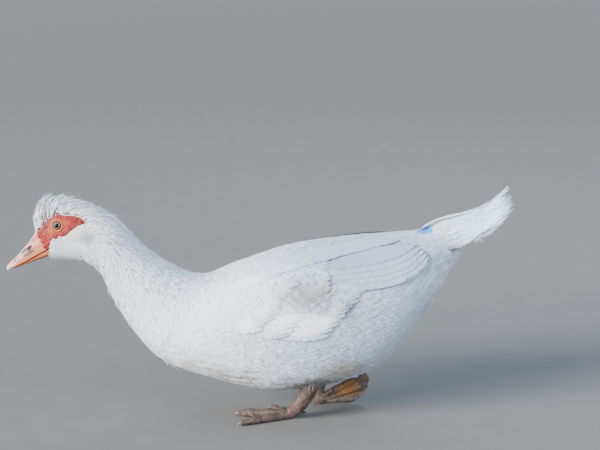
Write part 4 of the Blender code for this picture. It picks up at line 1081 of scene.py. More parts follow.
def makeTail():
    chance = np.random.default_rng(8)
    fan = FeatherFan(7)
    rows = 60
    t = np.linspace(0, 1, rows)
    for side, layer in ((side, layer) for side in (-1, 1) for layer in tail["layers"]):
        count, reach, ahead, lift, loose = layer
        for i in range(count):
            share = i / (count - 1)
            spots = np.clip([share, share - 0.1, share + 0.1], 0, 1) * 4
            flip = np.array([1, side, 1]) * mm
            root = splined(tail["roots"], spots)[0] * flip
            tip, inner, outer = splined(tail["tips"], spots) * flip
            tip = mixed(root, tip, chance.uniform(0.95, 1.0))
            sag = tail["sag"] * (1 - 0.8 * share)
            t1 = mixed(-ahead * mm / np.linalg.norm(tip - root), reach, t)
            drop = sag * 6.75 * np.clip(t1, 0, 1) ** 2 * (1 - np.clip(t1, 0, 1))
            centre = root + (tip - root) * t1[:, None] - np.outer(drop, [0, 0, 1])
            heading = unit(np.gradient(centre, axis=0))
            level = unit((inner - outer) - heading * (heading @ (inner - outer))[:, None])
            normal = unit(np.cross(heading, level))
            normal = normal * np.sign(normal @ np.array([-0.3, side, 0.7]))[:, None]
            sunk = 2.5 * (1 - smooth(t, 0.0, 0.3)) * (lift > 0)  # the upper layers rise from under the coat
            out = lift * (1 - 0.5 * smooth(t, 0.6, 1)) * mixed(0.4, 1.0, share) - sunk
            centre = centre + normal * (out * mm)[:, None]
            widths = splined([(w,) for w in tail["profile"]], np.linspace(0, len(tail["profile"]) - 1, rows))
            half = widths[:, 0] * tail["width"] / 2 * (1 - 0.3 * smooth(share, 0.6, 1.0))
            tone = chance.uniform(0, 1)
            rows3 = vaneRows(centre, level, normal, half, tail["edgeRise"], chance, 0.9)
            fan.add(rows3, np.linalg.norm(centre[-1] - centre[0]), tone)
            fringe = vaneFringe(centre, level, normal, half, chance, (0.45, 0.99), 26, loose * mm)
            fan.add(fringe, loose * mm, tone, True)
    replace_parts(fan.finish("tail_feathers"), "tail")


makeTail()


def addTexture(tree, kind, place, size, **more):
    # a texture whose grain is about that many metres across
    return addNode(tree, kind, {"Vector": place, "Scale": 1 / size, **more})


def faceFinish():
    # Bare caruncled skin: thin, full of blood and finely wrinkled, so deep red, with painted shade in its creases
    # and dark beads along its border, paler and orange on the lids, and a dull moist gloss.
    material, tree, shader = newMaterial("bare red skin", Roughness=0.55, Subsurface_Weight=0.12)
    shader.inputs["Specular IOR Level"].default_value = 0.35
    shader.inputs["Subsurface Radius"].default_value = (1.0, 0.35, 0.2)
    shader.inputs["Subsurface Scale"].default_value = 1.2 * mm
    place = addNode(tree, "ShaderNodeTexCoord").outputs["Object"]
    height = addNode(tree, "ShaderNodeAttribute", attribute_name="height").outputs["Fac"]
    lid = addNode(tree, "ShaderNodeAttribute", attribute_name="lid").outputs["Fac"]
    border = addNode(tree, "ShaderNodeAttribute", attribute_name="border").outputs["Fac"]
    blotch = addNode(tree, "ShaderNodeTexNoise", {"Vector": place, "Scale": 1 / (6 * mm), "Detail": 3.0}).outputs[0]
    grain = addNode(tree, "ShaderNodeTexNoise", {"Vector": place, "Scale": 1 / (0.7 * mm), "Detail": 3.0}).outputs[0]
    contrast = addNode(tree, "ShaderNodeMapRange", {"Value": blotch, "From Min": 0.38, "From Max": 0.62}).outputs[0]
    reds = {0: contrast, 6: hexColour("#7d1719"), 7: hexColour("#b33a30")}
    colour = addNode(tree, "ShaderNodeMix", reds, data_type="RGBA").outputs[2]
    # painted shade where the skin is low: in the creases between its grains and at the lids' edges
    creaseShade = addNode(tree, "ShaderNodeMapRange", {"Value": height, "From Min": 0.45, "From Max": 0.0, "To Max": 0.75})
    layers = {0: creaseShade.outputs[0], 6: colour, 7: hexColour("#7c1b17")}
    colour = addNode(tree, "ShaderNodeMix", layers, data_type="RGBA").outputs[2]
    layers = {0: lid, 6: colour, 7: hexColour("#cf7440")}
    colour = addNode(tree, "ShaderNodeMix", layers, data_type="RGBA").outputs[2]
    dots = addNode(tree, "ShaderNodeTexVoronoi", {"Vector": place, "Scale": 1 / (2.2 * mm)}).outputs["Distance"]
    dots = addNode(tree, "ShaderNodeMapRange", {"Value": dots, "From Min": 0.34, "From Max": 0.2, "To Max": 0.85})
    dots = addNode(tree, "ShaderNodeMath", {0: dots.outputs[0], 1: border}, operation="MULTIPLY").outputs[0]
    layers = {0: dots, 6: colour, 7: hexColour("#5a1714")}
    colour = addNode(tree, "ShaderNodeMix", layers, data_type="RGBA").outputs[2]
    tree.links.new(colour, shader.inputs["Base Color"])
    bump = addNode(tree, "ShaderNodeBump", {"Height": grain, "Strength": 0.6, "Distance": 0.25 * mm})
    tree.links.new(bump.outputs[0], shader.inputs["Normal"])
    return material


def pebbled(points, size):
    # rounded grains, 1 at the middle of each and 0 in the creases between them
    heights = np.empty(len(points))
    for k, point in enumerate(points):
        distances, _ = noise.voronoi(Vector(point / size))
        heights[k] = min(1.0, (distances[1] - distances[0]) * 1.6)
    return heights


def eyeFrame():
    x, z = (np.array([value]) for value in eye["place"])
    station, turn = seenAt(x, z)
    point, out, along, upward = (v[0] for v in bodyFrame(station, turn))
    back = unit(along - out * (along @ out))
    return point, out, back, np.cross(out, back) * -1


def makeFace(side):
    # rings from inside the lids, over them and out to the mask's rim, where the skin dips under feathers
    point, out, back, up = eyeFrame()
    up = up * (1 if up[2] > 0 else -1)
    relative = maskOutline - np.array(eye["place"])
    angle = np.unwrap(np.arctan2(relative[:, 1], relative[:, 0]))
    angle = np.maximum.accumulate(angle + np.linspace(0, 1e-3, len(angle)))
    even = angle[0] + np.linspace(0, 2 * np.pi, len(angle), endpoint=False)
    angle = mixed(angle, even, 0.15)
    columns = len(angle)
    ring = back[None] * np.cos(angle)[:, None] + up[None] * np.sin(angle)[:, None]
    lidRows = []
    profile = splined(eye["lid"], np.linspace(0, len(eye["lid"]) - 1, 14)) * mm
    for radius, height in profile:
        lidRows.append(point + ring * radius + out * (height - 0.2 * mm))
    lastRadius = profile[-1, 0]
    rim = np.array(eye["place"]) + np.stack([np.cos(angle), np.sin(angle)], -1) * lastRadius
    shares = np.linspace(0, 1.08, 86)[1:]
    flat = rim[None] + (maskOutline - rim)[None] * shares[:, None, None]
    station, turn = seenAt(flat[..., 0], flat[..., 1])
    ground, normal, _, _ = bodyFrame(station, turn)
    count = ground[..., 0].size
    fine = pebbled(ground.reshape(-1, 3), face["pebbleSize"]).reshape(ground.shape[:2])
    coarse = pebbled(ground.reshape(-1, 3), face["pebbleSize"] * 2.3).reshape(ground.shape[:2])
    near = smooth(shares, 0.0, 0.12)[:, None]
    height = (fine * 0.55 + coarse * 0.75) * face["pebbleHeight"] * near
    for x, z, radius in face["beads"]:
        away = np.hypot(flat[..., 0] - x * mm, flat[..., 1] - z * mm) / (radius * mm)
        height = height + 0.35 * radius * mm * np.sqrt(np.maximum(0, 1 - away**2))
    level = mixed(0.0, -face["sunk"], smooth(shares, 0.0, 0.25))[:, None]
    dip = -2.4 * mm * smooth(shares, 0.95, 1.07)[:, None] - 1.6 * mm * smooth(station, 0.12, 0.0)
    ground = ground + normal * (level + height + dip)[..., None]
    offset = (lidRows[-1] - (ground[0] - (ground[1] - ground[0])))[None]
    ground = ground + offset * (1 - smooth(shares, 0.0, 0.3))[:, None, None]
    points = np.concatenate([np.array(lidRows), ground])
    rows = len(points)
    reach = profile[:, 0] / mm
    lidShare = smooth(reach, 5.3, 5.7) * smooth(reach, 7.4, 7.0)
    lidHeight = 0.8 * smooth(reach, 5.2, 5.5) * smooth(reach, 7.8, 7.2)
    numbers = {
        "height": np.concatenate([np.repeat(lidHeight[:, None], columns, axis=1), height / (1.2 * mm)]).ravel(),
        "lid": np.repeat(np.concatenate([lidShare, 0.35 * smooth(shares, 0.5, 0.08)]), columns),
        "border": np.repeat(np.concatenate([0 * reach, smooth(shares, 0.6, 0.95)]), columns),
    }
    flip = np.array([1, 1 if side == "left" else -1, 1])
    faces = gridFaces(rows, columns, closed=True, flip=side == "left")
    points = points.reshape(-1, 3)
    # loose beads of the same skin among the feathers round it, behind and above the eye
    chance = np.random.default_rng(31)
    for place in np.sort(chance.choice(150, face["looseBeads"], replace=False)):
        radius = chance.uniform(0.5, 0.95) * mm
        away = radius * 0.7 + chance.uniform(0.0, 2.6) * mm
        spot = maskOutline[place - 20]
        spot = spot + away * unit(spot - np.array(eye["place"]) - np.array([0.006, 0.0]))
        at, turn = seenAt(spot[:1], spot[1:])
        ground, normal, _, _ = (v[0] for v in bodyFrame(at, turn))
        ball = unitBall(7, 9) * radius + ground + normal * 0.5 * mm
        more = closedTube(ball, len(points))
        faces = faces + (more if side == "left" else [f[::-1] for f in more])
        ball = ball.reshape(-1, 3)
        points = np.concatenate([points, ball])
        for key, value in (("height", 0.16), ("lid", 0.0), ("border", 1.0)):
            numbers[key] = np.concatenate([numbers[key], np.full(len(ball), value)])
    made = meshObject("face_skin_" + side, points * flip, faces, numbers)
    return finishPiece(made, faceMaterial)


def eyeFinish():
    # A wet living eye: a clear glossy coat over a pale grey-blue iris with a dark rim and a black pupil.
    material, tree, shader = newMaterial("wet eye", Roughness=0.4, Coat_Weight=0.2, Coat_Roughness=0.03)
    shader.inputs["Specular IOR Level"].default_value = 0.1
    polar = addNode(tree, "ShaderNodeAttribute", attribute_name="polar").outputs["Fac"]
    streak = addNode(tree, "ShaderNodeAttribute", attribute_name="streak").outputs["Fac"]
    ramp = addNode(tree, "ShaderNodeValToRGB", {0: polar})
    stops = ((0.0, "#020202"), (0.42, "#030303"), (0.45, "#2a2620"), (0.49, "#6f7672"), (0.55, "#a9aa98"),
             (0.6, "#8f8a74"), (0.64, "#1f1611"), (1.0, "#120c0a"))
    elements = ramp.color_ramp.elements
    while len(elements) < len(stops):
        elements.new(0.5)
    for element, (at, code) in zip(elements, stops):
        element.position = at
        element.color = hexColour(code)
    layers = {0: streak, 6: ramp.outputs[0], 7: hexColour("#6d7478")}
    colour = addNode(tree, "ShaderNodeMix", layers, data_type="RGBA").outputs[2]
    tree.links.new(colour, shader.inputs["Base Color"])
    return material


def makeEye(side):
    point, out, back, up = eyeFrame()
    up = up * (1 if up[2] > 0 else -1)
    centre = point - out * (eye["radius"] - eye["proud"])
    rows, columns = 72, 96
    polar = np.linspace(0.0, np.pi, rows)
    angle = np.linspace(0, 2 * np.pi, columns, endpoint=False)
    ring = back[None] * np.cos(angle)[:, None] + up[None] * np.sin(angle)[:, None]
    radius = eye["radius"] + eye["cornea"] * (1 - smooth(polar, 0.25, 0.75))
    points = centre + (out[None, None] * np.cos(polar)[:, None, None]
                       + ring[None] * np.maximum(np.sin(polar), 1e-4)[:, None, None]) * radius[:, None, None]
    shift = eye["pupilShift"]
    across = np.sin(polar)[:, None] * radius[:, None] * np.cos(angle)[None] - shift[0]
    tall = np.sin(polar)[:, None] * radius[:, None] * np.sin(angle)[None] - shift[1]
    away = np.hypot(across, tall)
    away = np.where(polar[:, None] > 1.5, 0.0066, away) / (6.6 * mm)
    seeds = np.random.default_rng(3).uniform(0, 1, columns)
    streak = (seeds[None] * 0.4) * smooth(away, 0.44, 0.5) * (1 - smooth(away, 0.6, 0.68))
    numbers = {"polar": away.ravel(), "streak": streak.ravel()}
    flip = np.array([1, 1 if side == "left" else -1, 1])
    faces = [f[::-1] if side == "left" else f for f in closedTube(points)]
    made = meshObject("eye_ball_" + side, points.reshape(-1, 3) * flip, faces, numbers)
    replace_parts(finishPiece(made, eyeMaterial), "eye_" + side)


faceMaterial = faceFinish()
eyeMaterial = eyeFinish()
for side in ("left", "right"):
    makeFace(side)
    makeEye(side)

# Bill sections, in mm: x and z of the ridge, x and z of the mouth's edge, and half the width.
bill = {
    "upper": (
        (-273.5, 239.2, -256.2, 218.8, 16.6), (-281, 227.7, -268.4, 212.1, 12.8), (-288.9, 218.1, -279.3, 206, 11),
        (-298.2, 207.8, -290.8, 199.9, 10.3), (-305, 200.2, -300, 195.6, 9.8), (-309.3, 195, -306, 192.6, 7.6),
        (-311.2, 191.6, -309.2, 190.4, 3.6),
    ),
    "lower": (
        (-256, 217.8, -254.5, 208.6), (-268.2, 211.3, -265.6, 204.6), (-279, 205.2, -276.8, 200.8),
        (-290.4, 199.6, -288.6, 196.6), (-299.4, 195.2, -298.2, 193), (-304.6, 192.4, -303.8, 191),
    ),
    "lowerHalf": (15.4, 11.8, 9.9, 8.8, 7.6, 4.2),
    "nostril": (-281.2, 8.2, 219.5),
    "nostrilSize": (3.5, 1.7),
    "nostrilDepth": 2.2 * mm,
    "nostrilSlope": math.radians(33),
    # the nail's path from the ridge round the tip: x, z, half width and half thickness in mm
    "nail": ((-302.5, 202.6, 2.0, 0.5), (-306.2, 198.6, 4.0, 1.0), (-309.2, 194.6, 4.6, 1.6),
             (-310.9, 191.6, 4.0, 1.9), (-310.9, 189.3, 2.6, 1.3), (-310.3, 188.2, 1.0, 0.5)),
    # bands over the mouth's edge: share of the way to the ridge, colour, how strong it is
    "bands": ((0.0, "#5c2618", 1.0), (0.05, "#c2622e", 1.0), (0.13, "#d8834f", 1.0), (0.165, "#7a3b2b", 0.9),
              (0.2, "#dd9775", 1.0), (0.3, "#d08665", 0.8), (0.42, "#d08665", 0.0), (0.9, "#ecd3cb", 0.0),
              (0.97, "#f2dcd6", 0.85)),
    # streaked patches: x and z of the middle, reach along x and z, strength
    "patches": ((-281.5, 212.6, 9.5, 5.0, 1.6), (-276.5, 226, 4, 4, 0.6), (-298, 202, 6, 3.2, 0.5)),
}


def billFinish():
    # Horn under thin living skin: satin, pinkish orange, blotched with grey-brown over the middle, paler
    # towards the tip and orange along the mouth.
    material, tree, shader = newMaterial("mottled horn", Roughness=0.4, Subsurface_Weight=0.05)
    shader.inputs["Subsurface Scale"].default_value = 1.0 * mm
    place = addNode(tree, "ShaderNodeTexCoord").outputs["Object"]
    x, _, z = addNode(tree, "ShaderNodeSeparateXYZ", {0: place}).outputs
    hollow = addNode(tree, "ShaderNodeAttribute", attribute_name="hollow").outputs["Fac"]
    level = addNode(tree, "ShaderNodeAttribute", attribute_name="level").outputs["Fac"]
    blotch = addNode(tree, "ShaderNodeTexNoise", {"Vector": place, "Scale": 1 / (5 * mm), "Detail": 5.0}).outputs[0]
    speck = addNode(tree, "ShaderNodeTexNoise", {"Vector": place, "Scale": 1 / (1.6 * mm), "Detail": 3.0}).outputs[0]
    grain = addNode(tree, "ShaderNodeTexNoise", {"Vector": place, "Scale": 1 / (0.8 * mm), "Detail": 4.0}).outputs[0]
    tip = {"Value": x, "From Min": -290 * mm, "From Max": -304 * mm}
    tip = addNode(tree, "ShaderNodeMapRange", tip, interpolation_type="SMOOTHSTEP").outputs[0]
    layers = {0: tip, 6: hexColour("#c96a4c"), 7: hexColour("#cf8068")}
    colour = addNode(tree, "ShaderNodeMix", layers, data_type="RGBA").outputs[2]
    paler = addNode(tree, "ShaderNodeMapRange", {"Value": blotch, "From Min": 0.46, "From Max": 0.64, "To Max": 0.7})
    layers = {0: paler.outputs[0], 6: colour, 7: hexColour("#e0c3ab")}
    colour = addNode(tree, "ShaderNodeMix", layers, data_type="RGBA").outputs[2]
    flush = {"Value": z, "From Min": 223 * mm, "From Max": 237 * mm, "To Max": 0.75}  # redder by the forehead
    flush = addNode(tree, "ShaderNodeMapRange", flush, interpolation_type="SMOOTHSTEP").outputs[0]
    layers = {0: flush, 6: colour, 7: hexColour("#bd4638")}
    colour = addNode(tree, "ShaderNodeMix", layers, data_type="RGBA").outputs[2]
    specks = addNode(tree, "ShaderNodeMapRange", {"Value": speck, "From Min": 0.6, "From Max": 0.7, "To Max": 0.6})
    layers = {0: specks.outputs[0], 6: colour, 7: hexColour("#96604f")}
    colour = addNode(tree, "ShaderNodeMix", layers, data_type="RGBA").outputs[2]
    # streaks run upright over the dark patches
    squeezed = addNode(tree, "ShaderNodeVectorMath", {0: place, 1: (800.0, 800.0, 170.0)}, operation="MULTIPLY")
    streak = addNode(tree, "ShaderNodeTexNoise", {"Vector": squeezed.outputs[0], "Scale": 1.0}).outputs[0]
    streak = addNode(tree, "ShaderNodeMapRange", {"Value": streak, "From Min": 0.42, "From Max": 0.58}).outputs[0]
    for middleX, middleZ, reachX, reachZ, strength in bill["patches"]:
        spans = []
        for value, middle, reach in ((x, middleX, reachX), (z, middleZ, reachZ)):
            span = {0: value, 1: 1 / (reach * mm), 2: -middle / reach}
            spans.append(addNode(tree, "ShaderNodeMath", span, operation="MULTIPLY_ADD").outputs[0])
        flat = addNode(tree, "ShaderNodeCombineXYZ", {0: spans[0], 1: spans[1]}).outputs[0]
        far = addNode(tree, "ShaderNodeVectorMath", {0: flat}, operation="LENGTH").outputs["Value"]
        uneven = addNode(tree, "ShaderNodeMath", {0: blotch, 1: -1.6, 2: far}, operation="MULTIPLY_ADD").outputs[0]
        amount = {"Value": uneven, "From Min": 0.5, "From Max": -0.05, "To Max": strength}
        amount = addNode(tree, "ShaderNodeMapRange", amount, interpolation_type="SMOOTHSTEP").outputs[0]
        uneven = addNode(tree, "ShaderNodeMath", {0: streak, 1: 0.55, 2: 0.42}, operation="MULTIPLY_ADD").outputs[0]
        amount = addNode(tree, "ShaderNodeMath", {0: amount, 1: uneven}, operation="MULTIPLY").outputs[0]
        layers = {0: amount, 6: colour, 7: hexColour("#3b2c2a")}
        colour = addNode(tree, "ShaderNodeMix", layers, data_type="RGBA").outputs[2]
    bands = addNode(tree, "ShaderNodeValToRGB", {0: level})
    elements = bands.color_ramp.elements
    for _ in range(len(bill["bands"]) - 2):
        elements.new(0.5)
    for element, (at, code, strength) in zip(elements, bill["bands"]):
        element.position = at
        element.color = (*hexColour(code)[:3], strength)
    layers = {0: bands.outputs["Alpha"], 6: colour, 7: bands.outputs["Color"]}
    colour = addNode(tree, "ShaderNodeMix", layers, data_type="RGBA").outputs[2]
    # painted near-black shade in the nostril pits
    layers = {0: hollow, 6: colour, 7: hexColour("#060303")}
    colour = addNode(tree, "ShaderNodeMix", layers, data_type="RGBA").outputs[2]
    tree.links.new(colour, shader.inputs["Base Color"])
    bump = addNode(tree, "ShaderNodeBump", {"Height": grain, "Strength": 0.4, "Distance": 0.2 * mm})
    tree.links.new(bump.outputs[0], shader.inputs["Normal"])
    return material


def billRings(numbers, arched, rows, columns):
    # an arch over a slightly hollow palate, or a keel under a flat roof
    numbers = splined(numbers, np.linspace(0, len(numbers) - 1, rows)) * mm
    ridge, edge, half = numbers[:, 0:2], numbers[:, 2:4], numbers[:, 4]
    angle = np.linspace(0, np.pi, columns)
    share = np.sin(angle) ** 0.8
    wide = np.copysign(np.abs(np.cos(angle)) ** 0.8, np.cos(angle))
    base, apex = (edge, ridge) if arched else (ridge, edge)
    flat = base[:, None] + (apex - base)[:, None] * share[None, :, None]
    y = half[:, None] * wide[None]
    outer = np.stack([flat[..., 0], -y, flat[..., 1]], -1)
    inward = np.linspace(1, -1, 12)[1:-1]
    level = base[:, None] + (apex - base)[:, None] * (0.12 * (1 - inward[None, :, None] ** 2))
    floor = np.stack([level[..., 0], half[:, None] * inward[None], level[..., 1]], -1)
    return np.concatenate([outer, floor], axis=1), share, columns


def makeBill():
    rings, share, columns = billRings(bill["upper"], True, 120, 110)
    rows = len(rings)
    # the nostrils: oval pits with a raised rim, on both sides
    slope = np.array([math.cos(bill["nostrilSlope"]), 0, math.sin(bill["nostrilSlope"])])
    across = np.array([-slope[2], 0, slope[0]])
    hollow = np.zeros(rings.shape[:2])
    for side in (-1, 1):
        middle = np.array(bill["nostril"]) * (1, side, 1) * mm
        away = rings - middle
        u, v = away @ slope / (bill["nostrilSize"][0] * mm), away @ across / (bill["nostrilSize"][1] * mm)
        near = (np.sign(rings[..., 1]) == side) & (np.arange(rings.shape[1]) < columns)[None]
        radius = np.where(near, np.hypot(u, v), 9)
        pit = np.sqrt(np.maximum(0, 1 - radius**2))
        lip = np.exp(-((radius - 1.25) / 0.22) ** 2) * 0.35 * mm
        inward = np.array([0, -side, 0])
        rings = rings + inward * (pit * bill["nostrilDepth"] - lip)[..., None]
        # the share of each pit that is painted as the nostril's shade
        hollow = np.maximum(hollow, smooth(pit, 0.0, 0.3))
    level = np.zeros(rings.shape[:2])
    level[:, :columns] = share[None]
    # a soft groove above the rim of the upper bill
    groove = np.exp(-((share - 0.17) / 0.05) ** 2) * 0.4 * mm
    toward = np.zeros_like(rings)
    toward[:, :columns, 1] = -np.sign(rings[:, :columns, 1]) * groove[None]
    rings = rings + toward
    faces = closedTube(rings[:, ::-1])
    numbers = {"hollow": hollow[:, ::-1].ravel(), "level": level[:, ::-1].ravel()}
    upper = meshObject("bill_top", rings[:, ::-1].reshape(-1, 3), faces, numbers)
    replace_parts(finishPiece(upper, billMaterial), "bill_upper")
    lowerNumbers = [(*row, half) for row, half in zip(bill["lower"], bill["lowerHalf"])]
    rings, share, columns = billRings(lowerNumbers, False, 80, 70)
    level = np.full(rings.shape[:2], 0.1)
    level[:, :columns] = 0.03 + 0.2 * share[None]
    numbers = {"hollow": np.zeros(level.size), "level": level.ravel()}
    lower = meshObject("bill_under", rings.reshape(-1, 3), closedTube(rings), numbers)
    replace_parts(finishPiece(lower, billMaterial), "bill_lower")


def nailFinish():
    # The horny nail at the bill's tip: hard, smooth and paler than the skin round it.
    material, tree, shader = newMaterial("pale horn", Roughness=0.3)
    place = addNode(tree, "ShaderNodeTexCoord").outputs["Object"]
    streaks = addNode(tree, "ShaderNodeTexNoise", {"Vector": place, "Scale": 1 / (2.5 * mm), "Detail": 3.0}).outputs[0]
    layers = {0: streaks, 6: hexColour("#ecd0c8"), 7: hexColour("#faf0ea")}
    colour = addNode(tree, "ShaderNodeMix", layers, data_type="RGBA").outputs[2]
    tree.links.new(colour, shader.inputs["Base Color"])
    return material


def makeNail():
    # a thin shield along its path, bent down over the tip and down at both sides
    x, z, wide, thick = splined(bill["nail"], np.linspace(0, len(bill["nail"]) - 1, 40)).T[..., None] * mm
    heading = unit(np.gradient(np.concatenate([x, z], -1), axis=0))
    angle = np.linspace(0, 2 * np.pi, 40, endpoint=False)[None]
    rise = thick * np.sin(angle) - 0.35 * wide * np.cos(angle) ** 2
    points = np.stack([x + heading[:, 1:] * rise, wide * np.cos(angle), z - heading[:, :1] * rise], -1)
    made = meshObject("bill_nail", points.reshape(-1, 3), closedTube(points))
    finishPiece(made, nailFinish())


billMaterial = billFinish()
makeBill()
makeNail()


def legFinish(name, base, web, warm, crease, pale):
    # Scaled leg skin: dry horny scutes with darker, dusty creases, thinner and more yellow on the webs,
    # whose free edge is pale.
    material, tree, shader = newMaterial(name, Roughness=0.58)
    place = addNode(tree, "ShaderNodeTexCoord").outputs["Object"]
    thin, rim, glow = (addNode(tree, "ShaderNodeAttribute", attribute_name=key).outputs["Fac"]
                       for key in ("web", "rim", "warm"))
    scales = addNode(tree, "ShaderNodeTexVoronoi", {"Vector": place, "Scale": 1 / (2.0 * mm)},
                     feature="DISTANCE_TO_EDGE").outputs["Distance"]
    dust = addNode(tree, "ShaderNodeTexNoise", {"Vector": place, "Scale": 1 / (7 * mm), "Detail": 4.0}).outputs[0]
    grain = addNode(tree, "ShaderNodeTexNoise", {"Vector": place, "Scale": 1 / (0.8 * mm), "Detail": 3.0}).outputs[0]
    colour = hexColour(base)
    dusty = addNode(tree, "ShaderNodeMapRange", {"Value": dust, "From Min": 0.45, "From Max": 0.7, "To Max": 0.6})
    cracks = addNode(tree, "ShaderNodeMapRange", {"Value": scales, "From Min": 0.14, "From Max": 0.0, "To Max": 0.6})
    glow = addNode(tree, "ShaderNodeMath", {0: glow, 1: 0.9}, operation="MULTIPLY")
    for share, code in ((thin, web), (dusty.outputs[0], pale), (glow.outputs[0], warm), (rim, pale),
                        (cracks.outputs[0], crease)):
        layers = {0: share, 6: colour, 7: hexColour(code)}
        colour = addNode(tree, "ShaderNodeMix", layers, data_type="RGBA").outputs[2]
    tree.links.new(colour, shader.inputs["Base Color"])
    raised = addNode(tree, "ShaderNodeMapRange", {"Value": scales, "From Max": 0.2})
    relief = addNode(tree, "ShaderNodeMath", {0: grain, 1: 0.3, 2: raised.outputs[0]}, operation="MULTIPLY_ADD")
    bump = addNode(tree, "ShaderNodeBump", {"Height": relief.outputs[0], "Strength": 0.7, "Distance": 0.35 * mm})
    tree.links.new(bump.outputs[0], shader.inputs["Normal"])
    return material


def toeCurve(start, tip, radius, rows=60, until=1.0):
    # a toe's path and radii: scutes as small steps on it, and flat on the floor if its tip is
    t = np.linspace(0, until, rows)
    swell = np.interp(t, *np.array(legs["toeSwell"]).T)
    path = mixed(np.array(start, float), np.array(tip, float), t[:, None]) * mm
    if tip[2] == 0:
        path[:, 2] = radius * mm * swell * 1.05
    length = np.linalg.norm(path[-1] - path[0])
    steps = 1 + 0.12 * (1 - (t * length / until / legs["scuteLength"]) % 1.0)
    return path, radius * mm * swell * steps * 0.94


def webSheet(first, second, reach, drawIn):
    # the skin between two toes as rings round a thin closed sheet, drawn in at its free edge
    rows, columns = 40, 26
    share = np.linspace(0.02, reach, rows)
    at = np.linspace(0, 1, len(first))
    a = np.stack([np.interp(share, at, first[:, k]) for k in range(3)], -1)
    b = np.stack([np.interp(share, at, second[:, k]) for k in range(3)], -1)
    v = np.linspace(0, 1, columns)[None, :, None]
    sheet = a[:, None] + (b - a)[:, None] * v
    pull = drawIn * share[:, None, None] * 4 * v * (1 - v)
    sheet = sheet + (first[0] - sheet) * pull
    normal = unit(np.cross(first[-1] - first[0], second[-1] - second[0]))
    pleats = 0.25 * mm * np.sin(v * 9 * np.pi) * smooth(share, 0.1, 0.4)[:, None, None]
    sheet = sheet + normal * pleats
    thick = legs["webThickness"] / 2 * (1 + 0.5 * smooth(share, reach - 0.05, reach))[:, None, None]
    return np.concatenate([sheet + normal * thick, (sheet - normal * thick)[:, ::-1]], axis=1)


def makeFoot(side, material, clawMaterial):
    numbers = legs[side]
    shank = splined(numbers["shank"], np.linspace(0, len(numbers["shank"]) - 1, 90)) * mm
    shells = [tubeGrid(shank[:, :3], shank[:, 3] * 0.97, 28)[0]]
    shells.append(unitBall(16, 24) * np.array(legs["ballSize"]) * mm * 0.98 + np.array(numbers["ball"]) * mm)
    paths, claws = [], []
    for tip, radius in zip(numbers["toes"], legs["toeRadii"]):
        shells.append(tubeGrid(*toeCurve(numbers["ball"], tip, radius, 60, 0.9), 18)[0])
        path, _ = toeCurve(numbers["ball"], tip, radius, 60)
        paths.append(path)
        claws.append((path[int(60 * legs["clawFrom"]):], radius * 0.5 * mm))
    edges = []
    for first, second in zip(paths, paths[1:]):
        shells.append(webSheet(first, second, *numbers["web"]))
        edges.append(shells[-1][-1, :26])
    hind = splined(numbers["hindToe"], np.linspace(0, 3, 30)) * mm
    shells.append(tubeGrid(hind[:24, :3], hind[:24, 3], 16)[0])
    claws.append((hind[20:, :3], 1.7 * mm))
    for k, shell in enumerate(shells):  # every shell faces outwards before they are fused
        ringOut = np.cross(shell[1:, :-1] - shell[:-1, :-1], shell[:-1, 1:] - shell[:-1, :-1])
        if (ringOut * (shell[:-1, :-1] - shell[:-1].mean(axis=1, keepdims=True))).sum() < 0:
            shells[k] = shell[:, ::-1]
    foot = fused(joinShells("foot shells", shells), "foot_" + side, legs["voxel"], 2)
    spots, normals = np.empty((2, len(foot.data.vertices) * 3))
    foot.data.vertices.foreach_get("co", spots)
    foot.data.vertices.foreach_get("normal", normals)
    spots, normals = spots.reshape(-1, 3), normals.reshape(-1, 3)

    def gapTo(*lines):  # how far each point is from the nearest of some lines
        gaps = [np.linalg.norm(spots[:, None] - line[None], axis=-1).min(axis=1) for line in lines]
        return np.min(gaps, axis=0)

    web = smooth(gapTo(*(path[::3] for path in (*paths, shank[:, :3], hind[:, :3]))), 3.5 * mm, 7 * mm)
    web = web * smooth(gapTo(shank[::3, :3]), 9 * mm, 13 * mm)
    warm = np.array(numbers["warm"]) * mm
    values = {
        "web": web, "rim": web * smooth(gapTo(*edges), 2.6 * mm, 0.8 * mm),
        "warm": smooth(np.linalg.norm(spots - warm[:3], axis=-1), warm[3], 0.3 * warm[3]),
    }
    for key, value in values.items():
        foot.data.attributes.new(key, "FLOAT", "POINT").data.foreach_set("value", value)
    knobs = np.array([noise.noise(Vector(spot / (3.4 * mm))) for spot in spots])
    spots = spots + normals * (knobs * legs["knobs"] * (1 - 0.7 * web))[:, None]
    spots[:, 2] = np.maximum(spots[:, 2], 0)
    foot.data.vertices.foreach_set("co", spots.ravel())
    foot.data.update()
    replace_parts(finishPiece(foot, material), "leg_" + side)
    tips = []
    for path, radius in claws:
        t = np.linspace(0, 1, 16)
        spine = np.stack([np.interp(t, np.linspace(0, 1, len(path)), path[:, k]) for k in range(3)], -1)
        spine[:, 2] += radius * 0.5 * np.sin(np.pi * t)
        tips.append(tubeGrid(spine, radius * (1 - t**1.6 * 0.95), 14)[0])
    claw = joinShells("claws_" + side, tips)
    finishPiece(claw, clawMaterial)


def clawFinish():
    # Claw horn: smooth and hard, grey brown, paler at the worn points.
    material, tree, shader = newMaterial("claw horn", Roughness=0.35)
    place = addNode(tree, "ShaderNodeTexCoord").outputs["Object"]
    streaks = addNode(tree, "ShaderNodeTexNoise", {"Vector": place, "Scale": 1 / (1.5 * mm), "Detail": 3.0}).outputs[0]
    layers = {0: streaks, 6: hexColour("#4c3e36"), 7: hexColour("#84766b")}
    colour = addNode(tree, "ShaderNodeMix", layers, data_type="RGBA").outputs[2]
    tree.links.new(colour, shader.inputs["Base Color"])
    return material


